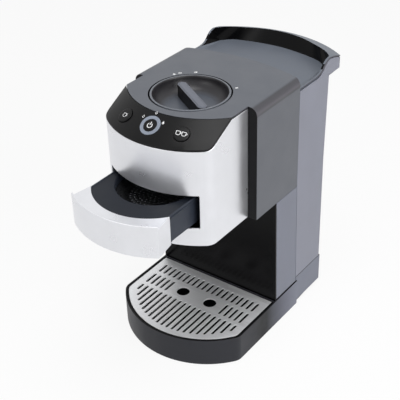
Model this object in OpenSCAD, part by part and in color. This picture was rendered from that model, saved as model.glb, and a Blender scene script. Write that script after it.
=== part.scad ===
// Pod coffee machine with a sliding pod drawer, a brew knob on top, a drip
// tray in the base and a lift-off water tank behind. Millimetres, +Z up,
// front towards -Y. Inside each module, y = 0 is the front of the head's side
// walls; placed() moves the whole machine so that its box is centred on Y.

/* [Overall] */
// Height of the flat top of the head above the table
top_z = 280; // [275:1:295]
// Height of the underside of the head
head_z = 157; // [150:1:162]
// Radius of the bowed fronts of the head and the drawer
bow_r = 94; // [90:1:110]
// Play between pieces that move past each other
play = 0.3; // [0.2:0.05:0.5]

/* [Front shell] */
// Width of the silver front shell
shell_w = 125; // [120:1:132]
// How far the shell stands out in front of the head's side walls
shell_reach = 83; // [80:1:88]
// Radius of the shell's upright corners
shell_corner_r = 13; // [8:1:18]
// Wall of the shell
shell_wall = 2.2; // [1.6:0.1:3]
// Width of the drawer opening
opening_w = 106.5; // [105:0.5:108]
// Height of the lower edge of the drawer opening
opening_z = 177; // [174:0.5:177.5]
// Height of the drawer opening
opening_h = 36; // [35.5:0.5:38]

/* [Head cover] */
// Width of the wide rear part of the head
cover_w = 146; // [140:1:150]
// Depth of the side walls of the head
cover_depth = 77.5; // [75:0.5:80]
// Rounding of the long top edges of the head
cover_edge_r = 8; // [4:0.5:12]
// Wall of the head cover
cover_wall = 2.5; // [2:0.1:3.5]
// Radius in plan of the joint between the head and the tank
seam_r = 215; // [200:5:260]

/* [Control panel] */
// Height that the sloping control panel drops
panel_drop = 18; // [14:1:22]
// Depth of the control panel in plan
panel_run = 28.5; // [25:0.5:32]
// Bow radius of the panel's upper edge
panel_top_r = 79; // [75:1:85]
// Upright thickness of the panel
panel_t = 2.2; // [1.6:0.1:3]
// Radius of the two cup buttons
button_r = 7.6; // [6:0.1:9]
// Radius of the power button
power_r = 6.6; // [5:0.1:8]
// Outer radius of the light ring round the power button
ring_r = 10.3; // [10:0.1:12]
// Travel of a button
button_travel = 1; // [0.5:0.1:1.2]
// How far a cup button stands proud of the panel
button_proud = 1.2; // [0.5:0.1:2]
// Angle between neighbouring buttons round the panel's cone
button_angle = 15.5; // [14:0.5:17]
// Distance of the buttons down the slope from the panel's upper edge
button_down = 15; // [13:0.5:17]

/* [Knob and brew head] */
// Distance of the brew axis in front of the side walls
brew_reach = 5; // [3:0.5:7]
// Radius of the knob's dish
knob_r = 39.5; // [37:0.5:40]
// Running gap round the knob
knob_gap = 0.8; // [0.5:0.1:1.2]
// Depth of the knob's dish
knob_depth = 14; // [10:0.5:15]
// Width of the bar across the knob
bar_w = 9.5; // [7:0.5:12]
// Length of the bar across the knob
bar_len = 64; // [56:1:68]
// Direction in which the bar points, from +X towards +Y
bar_angle = 148; // [0:1:180]
// Radius of the knob's shaft
shaft_r = 8; // [6:0.5:9]
// Running clearance of the shaft in its bores
shaft_play = 0.05; // [0.02:0.01:0.09]
// Radius of the brew piston
piston_r = 36; // [33:0.5:36.5]
// Stroke of the brew piston over the knob's turn
piston_stroke = 3; // [2:0.5:3]

/* [Drawer] */
// Travel of the drawer
drawer_travel = 60; // [50:1:62]
// Width of the drawer's silver front at its face
face_w = 103; // [100:0.5:104]
// Width of the drawer's dark tray
tray_w = 94; // [90:0.5:96]
// Thickness of the silver front at its middle
face_t = 15; // [12:0.5:18]
// Front bow radius of the dark tray
tray_bow_r = 59; // [55:1:65]
// Wall of the tray
tray_wall = 2.5; // [2:0.1:3]
// Radius of the pod well
well_r = 38.8; // [36:0.1:40]
// Depth of the pod well down to the sieve's rim
well_depth = 8; // [6:0.5:10]

/* [Base] */
// Width of the machine across its base; the column and the tank follow it
base_w = 153; // [150:1:158]
// How far the base stands out in front of the head's side walls
base_reach = 77; // [74:1:80]
// Bow radius of the base
base_bow_r = 92; // [88:1:105]
// Radius of the base's upright front corners
base_corner_r = 14; // [10:1:18]
// Height of the base
base_h = 33; // [30:0.5:36]
// Wall of the base
base_wall = 2; // [1.6:0.1:3]
// Height of the rubber feet below the housing
foot_h = 1; // [0.5:0.5:3]
// Radius of a foot
foot_r = 8; // [6:0.5:10]
// Pitch of the slots in the drip grid
slot_pitch = 6.6; // [6:0.1:8]
// Width of a slot
slot_w = 2.4; // [1.6:0.1:3]
// Slots on each side of the middle
slots_per_side = 10; // [6:1:10]
// Radius of a finger hole in the drip grid
finger_r = 7.2; // [6:0.1:9]
// Sheet thickness of the drip grid
grid_t = 1.5; // [1:0.1:2]

/* [Column] */
// Distance of the column's front behind the side walls' front
column_y = 34.4; // [32:0.2:38]
// Wall of the column
column_wall = 2.5; // [2:0.1:3.5]

/* [Water tank] */
// Height of the tank's floor above the table
tank_z = 38.3; // [37:0.1:42]
// Distance of the tank's rear wall behind the side walls' front
tank_back = 131; // [125:1:140]
// Wall of the tank
tank_wall = 2.5; // [2:0.1:3.5]
// Depth in plan of the rear grip, at its middle
grip_reach = 48.5; // [40:0.5:52]
// Bow radius of the rear grip
grip_r = 135; // [120:5:160]
// Height of the upright rear face of the grip
grip_h = 14; // [10:0.5:18]
// Rounding of the tank's upright corners
tank_corner_r = 5; // [2:0.5:10]
// Width in plan of the cup tray's side rims
rim_w = 2.4; // [1.8:0.1:4]
// Thickness of the lid's edge that shows above the tank's walls
rim_h = 1.3; // [1:0.1:2]
// Height of the rear gallery over the cup tray's floor
gallery_h = 14; // [10:0.5:18]
// Depth of the cup tray's floor below the head's top
tray_drop = 10; // [8:0.5:14]

/* [Hidden] */
$fn = 128;
eps = 0.01;
// Length of cuts that run out of the machine
far = 200;

// Colours
silver = "#d9dadf";
dark_plastic = "#6d7077";
black_plastic = "#2a2928";
tray_blue = "#464c56";
steel = "#b8bbc0";
rubber = "#222222";
brass = "#b9974c";

// The box of the machine with its drawer out runs from the drawer's face to
// the grip, and the frame's origin is below its middle.
drawer_recess = 1;
face_reach = shell_reach - drawer_recess + drawer_travel;
rear_reach = tank_back + grip_reach;
mid_y = (rear_reach - face_reach) / 2;
brew_y = -brew_reach;

// The control panel lies on a cone. Its front line drops panel_drop over
// panel_run, and its level sections bow with panel_top_r above and bow_r below.
panel_z = top_z - panel_drop;
slope = atan2(panel_drop, panel_run);
face_len = norm([panel_drop, panel_run]);
apex_len = face_len * bow_r / (bow_r - panel_top_r);
cone_half = atan(bow_r / (apex_len * sin(slope)));
cone_tilt = 90 - slope - cone_half;
apex_y = apex_len * cos(slope) - shell_reach;
apex_z = panel_z + apex_len * sin(slope);
cone_h = 320;
top_reach = shell_reach - panel_run;
button_len = apex_len - face_len + button_down;

// Heights inside the head
lip_h = 0.8;
shell_top_z = top_z - cover_wall - 0.2;
opening_top = opening_z + opening_h;
face_z0 = opening_z + 1;
face_top = opening_top - 1;
tray_top = face_top - 3.5;
tray_z0 = face_z0 + 2;
tray_edge_h = 0.8;
face_edge_h = 0.7;
face_edge_t = 1.6;
face_wall = 2.6;
rail_z = tray_top - 16;
runner_start = 62;
panel_start = 28;
cheek_lip = 4;
frame_in = opening_w / 2 + 3.7;
frame_t = 2.7;
deck_z = opening_top + 17;
deck_t = 3.5;
knob_floor = top_z - knob_depth;
knob_base_t = 2.5;
well_floor = knob_floor - knob_base_t - 0.5;
floor_t = 2.5;

// Pod and brew
tray_front_y = -face_reach + face_t;
pod_y = brew_y - drawer_travel;
// Rear corners of the drawer's silver front, and the rails' front ends, which
// they just miss when the drawer is closed
face_end_y = tray_front_y + tray_bow_r - sqrt(pow(tray_bow_r, 2) - pow(tray_w / 2, 2));
rail_y = face_end_y + drawer_travel + 2 * play;
cheek_y = cheek_lip - shell_reach + bow_r - sqrt(pow(bow_r, 2) - pow(face_w / 2, 2)) + shell_wall + play;
tray_back_y = pod_y + well_r + 6;
sieve_z = tray_top - well_depth;
piston_z = opening_top;
piston_t = 7;
hub_r = shaft_r + 4;
hub_top = piston_z + piston_t + 14;
housing_roof = deck_z + deck_t + 3;
housing_wall = 3.5;

// Base
base_z0 = foot_h;
base_back = cover_depth + 2;
rear_w = base_w - 3;
column_w = base_w - 0.5;
tank_w = base_w - 1;
deck_base_z = tank_z - play;
pocket_back = column_y - 0.9;
pocket_floor = 8;
basin_wall = 1.2;
grid_top = base_h - 0.4;
grid_inset = base_wall + play + basin_wall + play;

// Column and tank
column_top = head_z;
seam_cy = cover_depth - sqrt(pow(seam_r, 2) - pow(cover_w / 2, 2));
seam_gap = 0.5;
lid_floor = top_z - tray_drop;
lid_t = 2.5;
ledge_z = lid_floor - lid_t - play;
grip_z = ledge_z - 3;
gallery_top = lid_floor + gallery_h;
grip_cy = rear_reach - grip_r;
rim_z = lid_floor + 2;
lip_t = 1.1;
// S-curve of the side walls: where it starts, its length, and how far the
// tank's curve lags behind the lid's
sweep_y = tank_back - 27;
sweep_len = 27;
sweep_lag = 3;
// Circles of the gallery's leaning wall, at its foot and at its top
wall_foot_r = grip_r - 9;
wall_foot_cy = rear_reach - 23 - wall_foot_r;
wall_top_r = grip_r - 37;
wall_top_cy = rear_reach - 14.5 - wall_top_r;

// Hoses, pump, boiler and board
hose_r = 3.5;
bend_r = 8;
hose_x = min(base_w / 2 - 18.5, cover_w / 2 - 15);
pump_y = 53;
pump_z = base_h + 36;
pump_r = 15;
pump_half = 28;
neck_r = 9;
neck_half = 42;
mount_x = 36;
mount_half = 13;
pump_end = hose_x - bend_r;
board_w = 100;
board_y = column_y + 30;
board_z0 = pump_z + pump_r + 6;
board_z1 = column_top - 12;
board_face = board_y - 1.6;
// Supply and relay on the board: from x, to x, from z, to z, height
board_parts = [[-38, -14, 8, 32, 14], [2, 20, 12, 30, 10]];
capacitor_xs = [30, 40];
gland_x = 48;
gland_z = 20;
gland_r = 7;
frame_back = 44;
boiler_y = 59;
boiler_d = 24;
boiler_w = 76;
boiler_z0 = head_z + floor_t + 10;
boiler_z1 = deck_z - 6;
inlet_z = boiler_z0 + 16;
nipple_dy = 24;
nipple_top = housing_roof + 7;
pin_r = 3;
pin_dx = 24;
pin_top = housing_roof + 13;

// Tank valve in its socket
socket_x = -hose_x;
socket_y = tank_back - 25;
socket_r = 11;
socket_z = deck_base_z - 14;
spigot_r = 7.5;
spigot_h = 7;

// ---------- shared shapes ----------

// Moves a piece from the working frame to the machine's own frame.
module placed() translate([0, -mid_y, 0]) children();

// Plan of a bowed front: straight sides back to y = back, a front arc of
// radius r whose middle is at y = -reach, and round corners between them. The
// corners stand a hair proud, so that they cross the sides and the arc cleanly.
module bow_plan(w, reach, r, corner, back) {
  corner_x = w / 2 - corner;
  cy = r - reach;
  corner_y = cy - sqrt(pow(r - corner, 2) - pow(corner_x, 2));
  out = 1 + (corner + 5) / (r - corner);
  out_x = corner_x * out;
  out_y = cy + (corner_y - cy) * out;
  translate([-w / 2, corner_y]) square([w, back - corner_y]);
  for (side = [-1, 1]) translate([side * corner_x, corner_y]) circle(corner + 0.02);
  intersection() {
    translate([0, cy]) circle(r);
    polygon([
      [corner_x, corner_y + 1], [corner_x, corner_y], [out_x, out_y], [out_x, -reach - 2],
      [-out_x, -reach - 2], [-out_x, out_y], [-corner_x, corner_y], [-corner_x, corner_y + 1]]);
  }
}

module slab(z0, z1) translate([0, 0, z0]) linear_extrude(z1 - z0) children();

module disc(r, z0, z1, x = 0, y = 0) translate([x, y, z0]) cylinder(r = r, h = z1 - z0);

module ring(r_in, r_out, z0, z1, x = 0, y = 0) difference() {
  disc(r_out, z0, z1, x, y);
  disc(r_in, z0 - 1, z1 + 1, x, y);
}

module block(x0, x1, y0, y1, z0, z1) translate([x0, y0, z0]) cube([x1 - x0, y1 - y0, z1 - z0]);

module both_sides() {
  children();
  mirror([1, 0, 0]) children();
}

// The cone of the control panel, lowered by drop.
module panel_cone(drop = 0)
  translate([0, apex_y, apex_z - drop]) rotate([-cone_tilt, 0, 0])
    mirror([0, 0, 1]) cylinder(h = cone_h, r1 = 0, r2 = cone_h * tan(cone_half), $fn = 200);

// Puts a child on the panel's face, +Z straight out of it and +Y up the slope.
module on_panel(angle)
  translate([0, apex_y, apex_z]) rotate([-cone_tilt, 0, 0]) rotate([0, 0, angle])
    rotate([-cone_half, 0, 0]) translate([0, 0, -button_len]) rotate([90, 0, 0]) children();

// Plan in front of the joint between the head and the tank, grown by gap.
module before_seam(gap = 0) intersection() {
  translate([0, seam_cy]) circle(seam_r + gap);
  translate([-far, -far / 10]) square([2 * far, 2 * far]);
}

// A compression spring with closed ends, swept along a helix.
module coil(r, wire, z0, z1, turns) {
  ring_n = 20;
  steps = turns * ring_n;
  span = z1 - z0 - 2 * wire;
  points = [for (i = [0 : steps]) let (a = 360 * i / ring_n, z = z0 + wire + span * i / steps)
    for (k = [0 : 7]) let (q = r + wire * cos(45 * k)) [q * cos(a), q * sin(a), z + wire * sin(45 * k)]];
  sides = [for (i = [0 : steps - 1], k = [0 : 7])
    [8 * i + k, 8 * i + (k + 1) % 8, 8 * (i + 1) + (k + 1) % 8, 8 * (i + 1) + k]];

  polyhedron(points, concat([for (f = sides) [f[3], f[2], f[1], f[0]]], [[for (k = [0 : 7]) k]],
    [[for (k = [7 : -1 : 0]) 8 * steps + k]]), convexity = 8);
}

module rounded_slot(w, y0, y1) {
  translate([-w / 2, y0 + w / 2]) square([w, y1 - y0 - w]);
  for (y = [y0 + w / 2, y1 - w / 2]) translate([0, y]) circle(w / 2, $fn = 24);
}

// Hose pieces: each runs on along +Z and carries the next piece at its end.
module run(len) {
  cylinder(r = hose_r, h = len, $fn = 48);
  translate([0, 0, len]) children();
}

module elbow(dir) rotate([0, 0, dir]) {
  translate([bend_r, 0, 0]) rotate([0, 0, 180]) rotate([90, 0, 0])
    rotate_extrude(angle = 90, $fn = 48) translate([bend_r, 0]) circle(hose_r);
  translate([bend_r, 0, bend_r]) rotate([0, 90, 0]) rotate([0, 0, -dir]) children();
}

module rod_x(r, x0, x1, y, z) translate([x0, y, z]) rotate([0, 90, 0]) cylinder(r = r, h = x1 - x0, $fn = 48);

module rod_y(r, y0, y1, x, z) translate([x, y0, z]) rotate([-90, 0, 0]) cylinder(r = r, h = y1 - y0, $fn = 48);

// ---------- base ----------

module base_outline(inset = 0, back = base_back)
  bow_plan(base_w - 2 * inset, base_reach - inset, base_bow_r - inset, base_corner_r - inset, back);

rear_step = 3;
foot_x = base_w / 2 - 17;
base_corner_y = base_bow_r - base_reach
  - sqrt(pow(base_bow_r - base_corner_r, 2) - pow(base_w / 2 - base_corner_r, 2));
foot_front_y = base_corner_y - 6.8;
foot_rear_y = tank_back - 19;
screw_x = base_w / 2 - 8.5;
screw_places = [for (x = [-screw_x, screw_x], y = [pocket_back + 10, base_back - 10]) [x, y]];
plate_t = 3;
base_deck = 2;
screw_len = 20;

module base_housing() color(dark_plastic) difference() {
  union() {
    slab(base_z0, base_h) base_outline();
    block(-rear_w / 2, rear_w / 2, base_back - 1, tank_back, base_z0 + rear_step, deck_base_z);
  }
  // pocket for the drip tray
  slab(pocket_floor, base_h + 1) base_outline(base_wall, pocket_back);
  // seat of the column
  slab(base_h, deck_base_z + 1) before_seam(seam_gap);
  // open underside with the walls and decks left standing
  slab(base_z0 - 1, pocket_floor - base_wall) base_outline(base_wall, base_back - base_wall);
  slab(base_z0 - 1, base_h - base_deck) intersection() {
    base_outline(base_wall, base_back + 5);
    translate([-base_w / 2, pocket_back + base_wall]) square([base_w, far]);
  }
  difference() {
    block(-rear_w / 2 + base_wall, rear_w / 2 - base_wall, base_back - base_wall - 1, tank_back - base_wall,
      base_z0, deck_base_z - 3);
    slab(base_h - base_deck, deck_base_z) before_seam(seam_gap + 3);
  }
  disc(socket_r, socket_z, deck_base_z + 1, socket_x, socket_y);
  disc(hose_r + 1, socket_z, base_h + 1, socket_x, pump_y);
  rod_y(gland_r, tank_back - 5, tank_back + 1, gland_x, gland_z);
}

module base_plate() color(dark_plastic) difference() {
  union() {
    slab(base_z0, base_z0 + plate_t) base_outline(base_wall + play, base_back - base_wall - play);
    block(-rear_w / 2 + base_wall + play, rear_w / 2 - base_wall - play, base_back - base_wall - play - 6,
      tank_back - base_wall - play, base_z0 + rear_step, base_z0 + rear_step + plate_t);
    for (p = screw_places) disc(5, base_z0, base_h - base_deck, p.x, p.y);
  }
  for (p = screw_places) {
    disc(1.6, base_z0 - 1, base_h, p.x, p.y);
    disc(3.6, base_z0 - 1, base_z0 + 2, p.x, p.y);
  }
  for (x = [-foot_x, foot_x]) {
    disc(foot_r, base_z0 - 1, base_z0 + 1.5, x, foot_front_y);
    disc(foot_r, base_z0 - 1, base_z0 + rear_step + 1.5, x, foot_rear_y);
  }
}

module base_screws() color(steel) for (p = screw_places) {
  disc(3.3, base_z0 + 0.4, base_z0 + 2, p.x, p.y);
  disc(1.6, base_z0 + 2 - eps, base_z0 + screw_len, p.x, p.y);
}

module feet() color(rubber) for (x = [-foot_x, foot_x]) {
  disc(foot_r, 0, base_z0 + 1.5, x, foot_front_y);
  disc(foot_r, 0, base_z0 + rear_step + 1.5, x, foot_rear_y);
}

module cord_gland() color(rubber) difference() {
  union() {
    rod_y(gland_r, tank_back - base_wall - 1, tank_back, gland_x, gland_z);
    rod_y(gland_r + 2, tank_back, tank_back + 3, gland_x, gland_z);
    rod_y(gland_r + 2, tank_back - base_wall - 3, tank_back - base_wall, gland_x, gland_z);
  }
  rod_y(3.6, tank_back - 8, tank_back + 5, gland_x, gland_z);
}

module drip_tray() color(black_plastic) {
  floor_z = pocket_floor + play;
  inset = base_wall + play;
  back = pocket_back - play;
  difference() {
    slab(floor_z, grid_top + 0.2) base_outline(inset, back);
    slab(floor_z + 1.6, grid_top + 1) base_outline(inset + basin_wall + 1.8, back - basin_wall - 1.8);
    slab(grid_top - grid_t - 0.2, grid_top + 1) base_outline(inset + basin_wall, back - basin_wall);
  }
}

// Slot columns stand at odd half pitches either side of the middle.
slot_xs = [for (i = [0 : slots_per_side - 1], side = [-1, 1]) side * (i + 0.5) * slot_pitch];
rear_row = [6, 21.5];
middle_row = [-17, 1.5];
front_row_back = -21.5;
slot_arc_r = base_bow_r - 16.5;
slot_arc_cy = base_bow_r - base_reach - 5.9;
clear_half = 32;

module drip_grid() color(steel) difference() {
  slab(grid_top - grid_t, grid_top) base_outline(grid_inset, pocket_back - play - basin_wall - play);
  slab(grid_top - grid_t - 1, grid_top + 1) {
    for (x = slot_xs) translate([x, 0]) {
      rounded_slot(slot_w, rear_row[0], rear_row[1]);
      if (abs(x) > clear_half) rounded_slot(slot_w, middle_row[0], middle_row[1]);
      rounded_slot(slot_w, slot_arc_cy - sqrt(pow(slot_arc_r, 2) - pow(x, 2)), front_row_back);
    }
    for (side = [-1, 1]) translate([side * 18, -7.4]) circle(finger_r);
  }
}

// ---------- column ----------

module column_plan(inset = 0) intersection() {
  translate([-column_w / 2 + inset, column_y + column_wall]) square([column_w - 2 * inset, 100]);
  before_seam(-inset);
}

module column_housing() color(dark_plastic) difference() {
  slab(base_h, column_top) column_plan();
  difference() {
    slab(base_h - 1, column_top - column_wall) column_plan(column_wall);
    // standoffs of the main board
    for (x = [-1, 1] * (board_w / 2 - 6), z = [board_z0 + 6, board_z1 - 6]) rod_y(3, board_y, far, x, z);
  }
  // open front, closed by the column's front panel
  block(-column_w / 2 + column_wall, column_w / 2 - column_wall, column_y, column_y + 10,
    base_h - 1, column_top - column_wall);
  disc(hose_r + 1, column_top - 5, column_top + 1, hose_x, pump_y);
}

module column_front() color(black_plastic)
  block(-column_w / 2, column_w / 2, column_y, column_y + column_wall, base_h, column_top);

// ---------- head ----------

module shell_plan(inset = 0, back = 6)
  bow_plan(shell_w - 2 * inset, shell_reach - inset, bow_r - inset, shell_corner_r - inset, back);

module front_shell() color(silver) difference() {
  intersection() {
    slab(head_z, shell_top_z) shell_plan();
    panel_cone(panel_t + 0.2);
  }
  slab(head_z - 1, top_z) shell_plan(shell_wall, 10);
  block(-opening_w / 2, opening_w / 2, -shell_reach - 5, -30, opening_z, opening_top);
}

module cover_profile(inset = 0) {
  half = cover_w / 2 - inset;
  r = cover_edge_r - inset;
  translate([-half, head_z - 1]) square([2 * half, top_z - inset - r - head_z + 1]);
  translate([-half + r, head_z]) square([2 * (half - r), top_z - inset - head_z]);
  for (side = [-1, 1]) translate([side * (half - r), top_z - inset - r]) circle(r);
}

module head_cover() color(dark_plastic) difference() {
  union() {
    difference() {
      intersection() {
        translate([0, 100, 0]) rotate([90, 0, 0]) linear_extrude(100) cover_profile();
        slab(head_z, top_z) before_seam();
      }
      intersection() {
        translate([0, 110, 0]) rotate([90, 0, 0]) linear_extrude(110 - cover_wall) cover_profile(cover_wall);
        slab(0, top_z) before_seam(-cover_wall);
      }
      block(-shell_w / 2 - play, shell_w / 2 + play, -1, 10, head_z - 1, shell_top_z + 0.2);
    }
    // top plate in front of the side walls, its thin lip flush with the control panel
    intersection() {
      block(-shell_w / 2, shell_w / 2, -top_reach - 5, 1, top_z - lip_h, top_z);
      panel_cone();
    }
    intersection() {
      block(-shell_w / 2, shell_w / 2, -top_reach - 5, 1, top_z - cover_wall, top_z - lip_h + eps);
      panel_cone(panel_t + play);
    }
    ring(knob_r + knob_gap, knob_r + knob_gap + 2, well_floor - 2.5, top_z - eps, 0, brew_y);
    disc(knob_r + knob_gap + 1, well_floor - 2.5, well_floor, 0, brew_y);
    disc(shaft_r + 5, well_floor - 8, well_floor, 0, brew_y);
  }
  disc(knob_r + knob_gap, well_floor, top_z + 1, 0, brew_y);
  disc(shaft_r + shaft_play, well_floor - 20, top_z, 0, brew_y);
}

module head_floor() color(black_plastic) difference() {
  slab(head_z, head_z + floor_t) {
    shell_plan(shell_wall + play / 2, 20);
    intersection() {
      translate([-cover_w / 2 + cover_wall + play / 2, cover_wall + 6])
        square([cover_w - 2 * cover_wall - play, far]);
      before_seam(-cover_wall - play / 2);
    }
  }
  disc(10, head_z - 1, head_z + 5, 0, brew_y);
  disc(hose_r + 1, head_z - 1, head_z + 5, hose_x, pump_y);
}

// Side walls, deck and rear wall that carry the works of the head.
module head_frame() color(black_plastic) difference() {
  union() {
    both_sides() {
      block(frame_in, frame_in + frame_t, rail_y, frame_back, head_z + floor_t, deck_z + deck_t);
      // gussets between the side walls and the deck
      for (y = [rail_y + 1, 6, frame_back - 4]) translate([frame_in + eps, y + 3, deck_z + eps]) rotate([90, 0, 0])
        linear_extrude(3) polygon([[0, 0], [0, -10], [-10, 0]]);
    }
    block(-frame_in - eps, frame_in + eps, rail_y, frame_back, deck_z, deck_z + deck_t);
  }
  disc(piston_r + 0.5 + housing_wall + 0.1, deck_z - 1, deck_z + deck_t + 1, 0, brew_y);
}

// ---------- control panel ----------

module control_panel() color(black_plastic) difference() {
  intersection() {
    slab(panel_z - 6, top_z - lip_h - play) shell_plan(0, 0);
    panel_cone();
  }
  panel_cone(panel_t);
  for (side = [-1, 1]) on_panel(side * button_angle) translate([0, 0, -9]) cylinder(r = button_r + play, h = 14);
  on_panel(0) translate([0, 0, -9]) cylinder(r = ring_r, h = 14);
}

module power_ring() color("#aab0ba") on_panel(0) difference() {
  translate([0, 0, -panel_t]) cylinder(r = ring_r, h = panel_t + 0.2);
  translate([0, 0, -9]) cylinder(r = power_r + play, h = 14);
}

// Cap, and a stem that reaches down to just above its switch.
module button(r, proud) {
  translate([0, 0, -3]) cylinder(r = r, h = 3 + proud);
  translate([0, 0, -stem_len]) cylinder(r = 2.5, h = stem_len, $fn = 48);
}

carrier_drop = 12.5;
carrier_y = 57;
carrier_x = 55;
switch_h = 2.2;
stem_len = carrier_drop * cos(slope) - switch_h - button_travel - 0.15;

module one_cup_button() color(black_plastic) on_panel(-button_angle) button(button_r, button_proud);

module power_button() color(black_plastic) on_panel(0) button(power_r, 0.6);

module two_cup_button() color(black_plastic) on_panel(button_angle) button(button_r, button_proud);

module key_carrier() color("#2f6b45") intersection() {
  difference() {
    panel_cone(carrier_drop);
    panel_cone(carrier_drop + 2);
  }
  slab(panel_z - panel_drop, panel_z + 4) difference() {
    shell_plan(shell_wall);
    translate([-far / 2, -carrier_y]) square([far, far]);
    both_sides() translate([carrier_x, -far]) square([far, far]);
  }
}

module key_switches() color(steel) difference() {
  for (angle = [-1, 0, 1] * button_angle) on_panel(angle)
    translate([0, 0, -carrier_drop * cos(slope) - 2]) cylinder(r = 3.2, h = switch_h + 2, $fn = 48);
  panel_cone(carrier_drop);
}

// ---------- knob and brew head ----------

knob_top = top_z + 0.3;
// Round wall of the knob's bowl, which runs into the flat floor
bowl_r = knob_depth - 1.1;
bowl_x = knob_r - 3 - bowl_r;

module knob() color(black_plastic) translate([0, brew_y, 0]) difference() {
  union() {
    rotate_extrude() polygon([
      [0, knob_floor - knob_base_t], [knob_r, knob_floor - knob_base_t],
      [knob_r, knob_top], [knob_r - 2, knob_top], [knob_r - 3, knob_top - 1],
      for (a = [0 : 6 : 90]) [bowl_x + bowl_r * cos(a), knob_floor + bowl_r * (1 - sin(a))], [0, knob_floor]]);
    intersection() {
      rotate([0, 0, bar_angle]) block(-bar_len / 2, bar_len / 2, -bar_w / 2, bar_w / 2,
        knob_floor - 1, knob_top - 1);
      disc(knob_r - 1, knob_floor - 1, knob_top);
    }
  }
  disc(2.5, knob_floor - knob_base_t - 1, knob_floor + 4, 0, 0);
}

module knob_shaft() color(steel) translate([0, brew_y, 0]) {
  disc(shaft_r, piston_z + piston_t + 2, knob_floor - knob_base_t);
  disc(2.5, knob_floor - knob_base_t - eps, knob_floor + 4);
}

module brew_housing() color(dark_plastic) translate([0, brew_y, 0]) difference() {
  union() {
    ring(piston_r + 0.5, piston_r + 0.5 + housing_wall, piston_z + 1, deck_z + deck_t);
    disc(piston_r + 0.5 + housing_wall + 4, deck_z + deck_t, housing_roof);
    disc(5, housing_roof - eps, nipple_top, 0, nipple_dy);
  }
  disc(shaft_r + play, deck_z, housing_roof + 1);
  disc(2, deck_z, nipple_top + 1, 0, nipple_dy);
  for (side = [-1, 1]) disc(pin_r + 0.05, deck_z, housing_roof + 1, side * pin_dx, 0);
}

module brew_piston() color(steel) translate([0, brew_y, 0]) difference() {
  union() {
    disc(piston_r, piston_z, piston_z + piston_t);
    disc(hub_r, piston_z + piston_t - eps, deck_z + deck_t - 1);
    for (side = [-1, 1]) {
      disc(pin_r, piston_z + piston_t - eps, pin_top, side * pin_dx, 0);
      disc(pin_r + 3.5, pin_top - 2, pin_top, side * pin_dx, 0);
    }
  }
  disc(shaft_r + shaft_play, piston_z + piston_t - 3, deck_z + deck_t);
  ring(piston_r - 2, piston_r + 1, piston_z + 2, piston_z + 5);
  disc(piston_r - 4, piston_z - 1, piston_z + 1);
  // feed holes from the chamber above to the screen
  for (angle = [45 : 90 : 315]) rotate(angle) disc(1.2, piston_z, piston_z + piston_t + 1, 20, 0);
}

// Two compression springs that lift the piston by its guide pins.
module return_springs() color(steel) for (side = [-1, 1])
  translate([side * pin_dx, brew_y, 0]) coil(pin_r + 1.7, 0.6, housing_roof + 0.1, pin_top - 2.1, 4);

module piston_seal() color(rubber)
  ring(piston_r - 2, piston_r + 0.2, piston_z + 2, piston_z + 5, 0, brew_y);

module hole_rings(count, step) for (k = [0 : count - 1], i = [0 : max(1, 6 * k) - 1])
  rotate(i * 360 / max(1, 6 * k)) translate([k * step, 0]) children();

module shower_screen() color(steel) translate([0, brew_y, 0]) difference() {
  disc(piston_r - 4, piston_z, piston_z + 1);
  translate([0, 0, piston_z - 1]) linear_extrude(3) hole_rings(4, 7) circle(1, $fn = 16);
}

// ---------- drawer ----------

// Plan of the drawer's silver front: bowed face, ends raked back to the tray.
module face_plan() {
  end_x = face_w / 2;
  end_y = -face_reach + bow_r - sqrt(pow(bow_r, 2) - pow(end_x, 2)) + 0.5;
  tray_x = tray_w / 2 + 0.6;
  difference() {
    intersection() {
      translate([0, bow_r - face_reach]) circle(bow_r);
      polygon([
        [-end_x, -face_reach - 2], [end_x, -face_reach - 2], [end_x, end_y], [tray_x, face_end_y],
        [-tray_x, face_end_y], [-end_x, end_y]]);
    }
    translate([0, tray_front_y + tray_bow_r]) circle(tray_bow_r);
  }
}

module tray_plan(inset = 0) {
  tray_cy = tray_front_y + tray_bow_r;
  intersection() {
    union() {
      translate([0, tray_cy]) circle(tray_bow_r - inset);
      translate([-tray_w / 2, tray_cy]) square([tray_w, far]);
    }
    translate([-tray_w / 2 + inset, tray_front_y]) square([tray_w - 2 * inset, tray_back_y - tray_front_y - inset]);
  }
}

module drawer_front() color(silver) difference() {
  slab(face_z0, face_top) face_plan();
  // ledge behind the edge of the face
  slab(face_top - face_edge_h, face_top + 1) translate([0, bow_r - face_reach]) circle(bow_r - face_edge_t);
  // hollow that is open below
  slab(face_z0 - 1, face_top - face_wall - face_edge_h) offset(delta = -face_wall) face_plan();
}

module drawer_tray() color(tray_blue) difference() {
  union() {
    difference() {
      slab(tray_z0, tray_top) tray_plan();
      slab(tray_z0 - 1, tray_top - tray_wall) tray_plan(tray_wall);
    }
    // thin lips along both sides, and the runners below them
    both_sides() {
      block(tray_w / 2 - 1.2, tray_w / 2, tray_front_y + 24, tray_back_y, tray_top - eps, tray_top + tray_edge_h);
      block(tray_w / 2 - eps, tray_w / 2 + 3, tray_front_y + runner_start, tray_back_y, rail_z, rail_z + 3);
    }
    ring(well_r, well_r + 2, sieve_z - 8, tray_top - eps, 0, pod_y);
    disc(well_r + 1, sieve_z - 10, sieve_z - 8 + eps, 0, pod_y);
    disc(8, tray_z0 - 12, sieve_z - 8, 0, pod_y);
  }
  disc(well_r, sieve_z - 8, tray_top + 1, 0, pod_y);
  disc(5, tray_z0 - 20, sieve_z, 0, pod_y);
  // shallow panels in the outer sides
  both_sides() block(tray_w / 2 - 0.5, tray_w / 2 + 1, tray_front_y + panel_start, tray_front_y + runner_start - 3,
    tray_z0 + 4, tray_top - 4);
}

// Dished sieve: perforated floor, sloping side and a rim that rests in the well.
sieve_t = 0.8;
sieve_drop = 5;

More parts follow.
